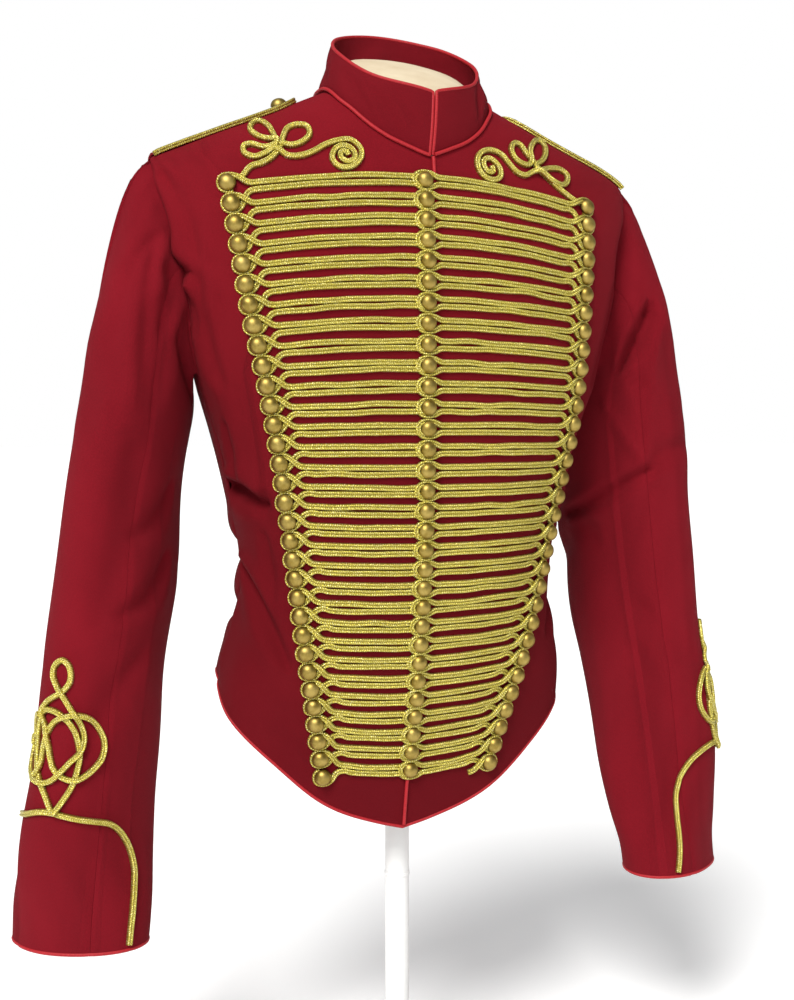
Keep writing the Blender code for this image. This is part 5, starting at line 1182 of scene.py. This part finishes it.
# soft wrinkles in millimetres: distance from the right front edge and height of both ends, bow, width, depth, lip
collarCreases = [
    (28, 10, 62, 30, 4, 6, 2.2, 1), (50, 6, 92, 26, 3, 6, 2.4, 1), (12, 24, 34, 44, -3, 5, 1.7, 0.8),
    (75, 34, 120, 52, 3, 7, 1.9, 0.8), (120, 14, 155, 40, -4, 7, 2.4, 1), (200, 12, 235, 38, 4, 8, 2.4, 1),
    (290, 30, 325, 12, 4, 7, 2.4, 1), (352, 16, 378, 42, -4, 6, 3.1, 1.5), (388, 46, 400, 14, 3, 5.5, 2.7, 1.4)]


def pick(rows, steps, at):
    return np.stack([np.interp(at, steps, column) for column in rows.T], -1)


def drawnBack(points, room):        # the two ends moved along the row, away from the opening
    points = points.copy()
    for row in (points, points[::-1]):
        run = runAlong(row)
        start, ahead = pick(row, run, room), np.searchsorted(run, room)
        for k in range(ahead):
            row[k] = start + (row[ahead] - start) * (k / ahead) * 0.5
    return points


def fromMiddle(points):     # level directions away from the neck's middle
    return unit(np.stack([points[:, 0], points[:, 1] - collar["middleY"], np.zeros(len(points))], -1))


neckSeam = []
for part, hand, order in (("front", -1, slice(None)), ("back", -1, slice(-2, None, -1)),
                          ("back", 1, slice(1, -1)), ("front", 1, slice(None, None, -1))):
    panel = panels[part, hand]
    row = np.stack([panel.points[topRow], panel.normals[topRow]])[:, :panel.corner + 1]
    neckSeam.append(row[:, order])
seamPoints, seamNormals = np.concatenate(neckSeam, axis=1)
for _ in range(2):      # spaced evenly, the corners at the shoulders rounded
    steps = runAlong(seamPoints)
    even = np.linspace(0, steps[-1], collar["columns"])
    seamPoints, seamNormals = pick(seamPoints, steps, even), pick(seamNormals, steps, even)
    for rows, rounds in ((seamPoints, 1), (seamNormals, 8)):
        for _ in range(rounds):
            rows[1:-1] = (rows[:-2] + 2 * rows[1:-1] + rows[2:]) / 4
seamNormals = unit(seamNormals)
low = drawnBack(seamPoints, collar["edgeRoom"]) + [0, 0, collar["seat"]]
turn = np.arctan2(np.abs(low[:, 0]), collar["middleY"] - low[:, 1])
reach = np.where(np.cos(turn) > 0, collar["front"], collar["back"])
high = np.stack([np.copysign(collar["halfWidth"] * np.sin(turn), low[:, 0]) + collar["shift"],
                 collar["middleY"] - reach * np.cos(turn), read(collarTop, "height", np.degrees(turn))], -1)
outward = fromMiddle(low)
t = np.linspace(0, 1, collar["levels"])[:, None, None]
net = low + (high - low) * t + outward * collar["bulge"] * np.sin(math.pi * t)
wrinkles = creaseField(runAlong(net[len(net) // 2])[None], np.linalg.norm(net - net[:1], axis=2), collarCreases)
net = net + outward * (wrinkles * np.sin(math.pi * t[..., 0] * 0.94 + 0.06))[..., None]
sewSheet(clothShell("standCollar", net, np.broadcast_to(outward, net.shape), collar["thick"], collarTwill),
         "collar", "hung", ["frontRight", "frontLeft"], **collarCut)
print("collar made")

# coral piping
piping = {"radius": 0.0016, "sides": 10, "sunk": 0.8, "frontEnds": (0.001, -0.0090, 0.0060, -0.0005),
          "frontSpots": (14, 8), "frontAside": 0.4, "frontLift": 0.7}


def layCord(name, paths, radius, finish, node):
    lay(name, paths, cordMaker, {"Radius": radius, "Sides": piping["sides"], "Finish": finish}, node)


def layPiping(name, node, *places, closed=False):
    paths = [{"places": spots, "closed": closed} for spots in places]
    layCord(name, paths, piping["radius"], coral, node)


middle = (net + (net - outward * collar["thick"])) / 2
reach = piping["radius"] * piping["sunk"]
rightEnd, leftEnd = (middle[:, end] + unit(middle[:, end] - middle[:, beside]) * reach
                     for end, beside in ((0, 2), (-1, -3)))
rise = unit(middle[-1] - middle[-2]) * reach
layPiping("collarPiping", "collar_piping", np.concatenate([
    rightEnd[:-1], rightEnd[-1:] + rise[:1] * 0.6, (middle[-1] + rise)[1:-1], leftEnd[-1:] + rise[-1:] * 0.6,
    leftEnd[-2::-1]]))
bisector = unit(seamNormals + fromMiddle(seamPoints))
slide = (piping["radius"] + collar["pipingRoom"]) / np.sum(bisector * seamNormals, axis=1, keepdims=True)
layPiping("neckPiping", "neck_piping", drawnBack(seamPoints + bisector * slide, collar["edgeRoom"] * 0.8))


def edgeCord(cloth, row, beside):       # the middle line of a cord just under the edge of a cloth
    outer = cloth.points[row]
    inner = outer - cloth.normals[row] * body["cloth"]
    return (outer + inner) / 2 + unit(outer - cloth.points[beside]) * reach


layPiping("hemPiping", "hem_piping", np.concatenate([
    edgeCord(panels[key], 0, 1)[order] for key, order in (
        (("front", -1), slice(None, None, -1)), (("front", 1), slice(1, None)),
        (("back", 1), slice(-2, None, -1)), (("back", -1), slice(1, -1)))]), closed=True)
for hand, side in sides.items():
    layPiping("cuffPiping" + side, "cuff_piping_" + side.lower(), edgeCord(sleeves[hand], -1, -2), closed=True)
lines = []      # below the last row of braid and above the first one
stops = [panels["front", 1].heights[0, 0], rowHeight(1, frogs["rows"], 0.0), rowHeight(1, 1, 0.0),
         neckLine["height"][0]] + np.array(piping["frontEnds"])
for bottom, top, count in zip(stops[::2], stops[1::2], piping["frontSpots"]):
    level = np.linspace(bottom, top, count)
    lines.append(faces[-1].point(openingRun(level) + piping["radius"] * piping["frontAside"], level,
                                 piping["radius"] * piping["frontLift"]))
layPiping("frontPiping", "front_piping", *lines)
print("piping laid")

# shoulder straps
strapLine = table("x half", [(0.0990, 0.0070), (0.1016, 0.0110), (0.1060, 0.0140), (0.1340, 0.0160),
                             (0.1620, 0.0175), (0.1900, 0.0185), (0.2205, 0.0185)])
strapRest = table("x lift behind", [(0.0990, 0.0005, 0), (0.1400, 0.0006, 0), (0.1700, 0.0006, 0.003),
                                    (0.2000, 0.0012, 0.009), (0.2205, 0.0010, 0.012)])
strap = {"cloth": 0.0024, "hem": 0.0003, "crown": 0.0005, "from": 0.0990, "to": 0.2205, "button": 0.1100,
         "buttonSize": 0.98, "buttonLift": 0.0008, "buttonLean": (0.6, -0.25), "cord": 0.001224, "cordStart": 50,
         "cordOut": 0.0012, "cordTip": 0.0052, "cordLevels": (0.0009, 0.0031),
         "tip": [0, 0.0006, 0.0018, 0.0036, 0.0060],
         "straight": 0.1090, "stations": 30, "across": 15, "rowsUsed": 40}
strapCut = {"flat": (0.138, 0.0385), "area": 0.0051}


def overShoulder(hand, x, across, lift):    # on the shoulder, a distance in front (negative) or behind the seam
    x, across, lift = (np.asarray(a, float) for a in np.broadcast_arrays(x, across, lift))
    out = np.zeros(x.shape + (3,))
    for where in np.ndindex(x.shape):
        lateral = across[where] + float(read(strapRest, "behind", x[where]))
        panel = panels["front" if lateral < 0 else "back", hand]
        reach = np.abs(panel.points[topRow, :, 0])
        column = float(np.interp(x[where], reach, np.arange(len(reach))))
        j = min(int(column), len(reach) - 2)
        s = column - j
        line, ups = ((net[::-1, j] * (1 - s) + net[::-1, j + 1] * s)[:strap["rowsUsed"]]
                     for net in (panel.points, panel.normals))
        run = runAlong(line)
        lifted = float(read(strapRest, "lift", x[where])) + lift[where]
        out[where] = pick(line, run, abs(lateral)) + unit(pick(ups, run, abs(lateral))) * lifted
    return out


for hand, side in sides.items():
    stations = np.concatenate([strap["from"] + np.array(strap["tip"]),
                               np.linspace(strap["straight"], strap["to"], strap["stations"])])
    half = read(strapLine, "half", stations)
    share = np.linspace(-1, 1, strap["across"])
    top = overShoulder(hand, stations[:, None], share[None] * half[:, None], strap["cloth"])
    ups = gridNormals(top, np.broadcast_to([0.0, 0.0, 1.0], top.shape))
    top = top + ups * (strap["crown"] * (1 - share ** 2))[None, :, None]
    sewSheet(clothShell("strap" + side, top, ups, strap["cloth"] - strap["hem"], twill), "strap_" + side.lower(),
             "laid", ["front" + side, "back" + side], **strapCut)
    away, tip = strap["cordOut"], strap["from"] - strap["cordOut"]
    outline = np.concatenate([
        np.stack([stations, -(half + away)], -1)[::-1],
        [[tip, -strap["cordTip"]], [tip, 0.0], [tip, strap["cordTip"]]], np.stack([stations, half + away], -1)])
    cords = [{"places": overShoulder(hand, *outline.T, level), "start": level * strap["cordStart"]}
             for level in strap["cordLevels"]]
    layCord("strapCord" + side, cords, strap["cord"], goldCord, "strap_cord_" + side.lower())
    seat = overShoulder(hand, [strap["button"]], [-1e-6], [strap["cloth"] + strap["buttonLift"]])
    outwards, forward = strap["buttonLean"]
    lean = unit(np.array([[hand * body["slope"] * outwards, forward, 1.0]]))
    setButtons("strapButton" + side, seat, lean, [strap["buttonSize"]], "strap_button_" + side.lower())
bpy.data.objects.remove(dome)
print("straps made")

# dress form and stand
formGap = table("height gap", [(0.420, 0.0120), (0.600, 0.0115), (0.700, 0.0080), (0.780, 0.0040), (0.836, 0.0018),
                               (0.880, 0.0008), (0.940, 0.0006)])
neck = {"half": 0.0575, "reach": 0.0560, "top": 0.9195, "tilt": 0.48, "waist": 0.420,
        "rings": [(1.0, -0.004, 4), (1.0, 0.0, 1), (0.985, 0.0014, 1), (0.95, 0.0026, 1), (0.86, 0.0048, 1),
                  (0.66, 0.0072, 1), (0.40, 0.0086, 1), (0.12, 0.0092, 1)]}


def formPatch(panel):
    last, shape = len(panel.shares) - 1, panel.shape
    columns = sorted({*range(0, panel.corner, 4), panel.corner, *range(panel.corner + 4, last, 6), last})
    rows = sorted({*range(panelNet["low"], topRow, 4), topRow})
    lower = np.linspace(neck["waist"], body["armpit"], 15)[:-1]
    heights = np.concatenate([np.repeat(lower[:, None], len(columns), 1), panel.heights[rows][:, columns]])
    runs = panel.runAt(panel.shares[columns][None], heights)
    runs[:, 0] = 0.0
    up = shape.normal(runs, heights)
    up[0, :, 2] = 0.0
    spots = shape.bare(runs, heights) - unit(up) * (body["cloth"] + read(formGap, "gap", heights))[..., None]
    spots[:, 0, 0] = 0.0
    return spots, columns.index(panel.corner), len(lower)


def joined(a, b):       # two edges brought together
    a[...] = b[...] = (a + b) / 2


patches = {key: formPatch(panel) for key, panel in panels.items()}
for hand in sides:      # the side line below the armhole and the shoulder line
    (front, corner, lower), (back, _, _) = patches["front", hand], patches["back", hand]
    joined(front[:lower + 1, -1], back[:lower + 1, -1])
    joined(front[-1, corner:], back[-1, corner:])
for part in ("front", "back"):
    joined(patches[part, -1][0][:, 0], patches[part, 1][0][:, 0])
shell = bmesh.new()


def addNet(spots, wrap=False):
    rows, columns = spots.shape[:2]
    corners = [[shell.verts.new(spots[i, j]) for j in range(columns)] for i in range(rows)]
    for i in range(rows - 1):
        for j in range(columns if wrap else columns - 1):
            n = (j + 1) % columns
            shell.faces.new((corners[i][j], corners[i][n], corners[i + 1][n], corners[i + 1][j]))


for spots, _, _ in patches.values():
    addNet(spots)
ring = []
for key, order in ((("front", -1), 1), (("back", -1), -1), (("back", 1), 1), (("front", 1), -1)):
    spots, corner, _ = patches[key]
    row = spots[-1, :corner + 1][::order]
    ring += list(row if key == ("front", -1) else row[1:])
ring = np.array(ring[:-1])
rings = [ring]
angle = np.arctan2(ring[:, 0], collar["middleY"] - ring[:, 1])
for widen, rise, steps in neck["rings"]:
    y = collar["middleY"] - neck["reach"] * widen * np.cos(angle)
    upper = np.stack([neck["half"] * widen * np.sin(angle), y,
                      neck["top"] + neck["tilt"] * (y - collar["middleY"]) + rise], -1)
    start = rings[-1]
    rings += [start + (upper - start) * k / steps for k in range(1, steps + 1)]
addNet(np.array(rings), wrap=True)
bmesh.ops.remove_doubles(shell, verts=shell.verts, dist=1e-6)
openEdges = [edge for edge in shell.edges if edge.is_boundary]
bmesh.ops.holes_fill(shell, edges=openEdges, sides=0)
bmesh.ops.recalc_face_normals(shell, faces=shell.faces)
print("dress form open edges:", sum(len(edge.link_faces) != 2 for edge in shell.edges))
formMesh = bpy.data.meshes.new("dressForm")
shell.to_mesh(formMesh)
shell.free()
dress(finished("dressForm", smoothed(formMesh, jersey)), "form_body")

# profiles of the stand: distance from the axis, height
poleProfile = [(0, 0.0123), (0.030, 0.0123), (0.0305, 0.0128), (0.0302, 0.0155), (0.0270, 0.0175), (0.0190, 0.0205),
               (0.0145, 0.0260), (0.0120, 0.0340), (0.011, 0.0430), (0.011, 0.2000), (0.0116, 0.2006),
               (0.0116, 0.2034), (0.011, 0.2040), (0.011, 0.3990), (0.0140, 0.4040), (0.0250, 0.4100),
               (0.0320, 0.4135), (0.0320, 0.4192), (0.0310, 0.4197), (0, 0.4197)]
baseProfile = [(0, 0), (0.163, 0), (0.1644, 0.0006), (0.165, 0.002), (0.165, 0.0055), (0.1642, 0.0075),
               (0.1610, 0.0090), (0.1500, 0.0098), (0.1000, 0.0109), (0.040, 0.012), (0, 0.012)]
for name, profile, count, node in (("standPole", poleProfile, 40, "stand_pole"),
                                   ("standBase", baseProfile, 96, "stand_base")):
    dress(finished(name, lathe(name, profile, count, enamel, 35)), node)
print("dress form and stand made")

placeCamera()
placeLights()
placeWorld()
wide = floorLook["halfWidth"]
floorCorners = [(-wide, -wide, 0), (wide, -wide, 0), (wide, wide, 0), (-wide, wide, 0)]
floorPiece = finished("floor", meshFrom("floor", floorCorners, [(0, 1, 2, 3)], floorFinish))
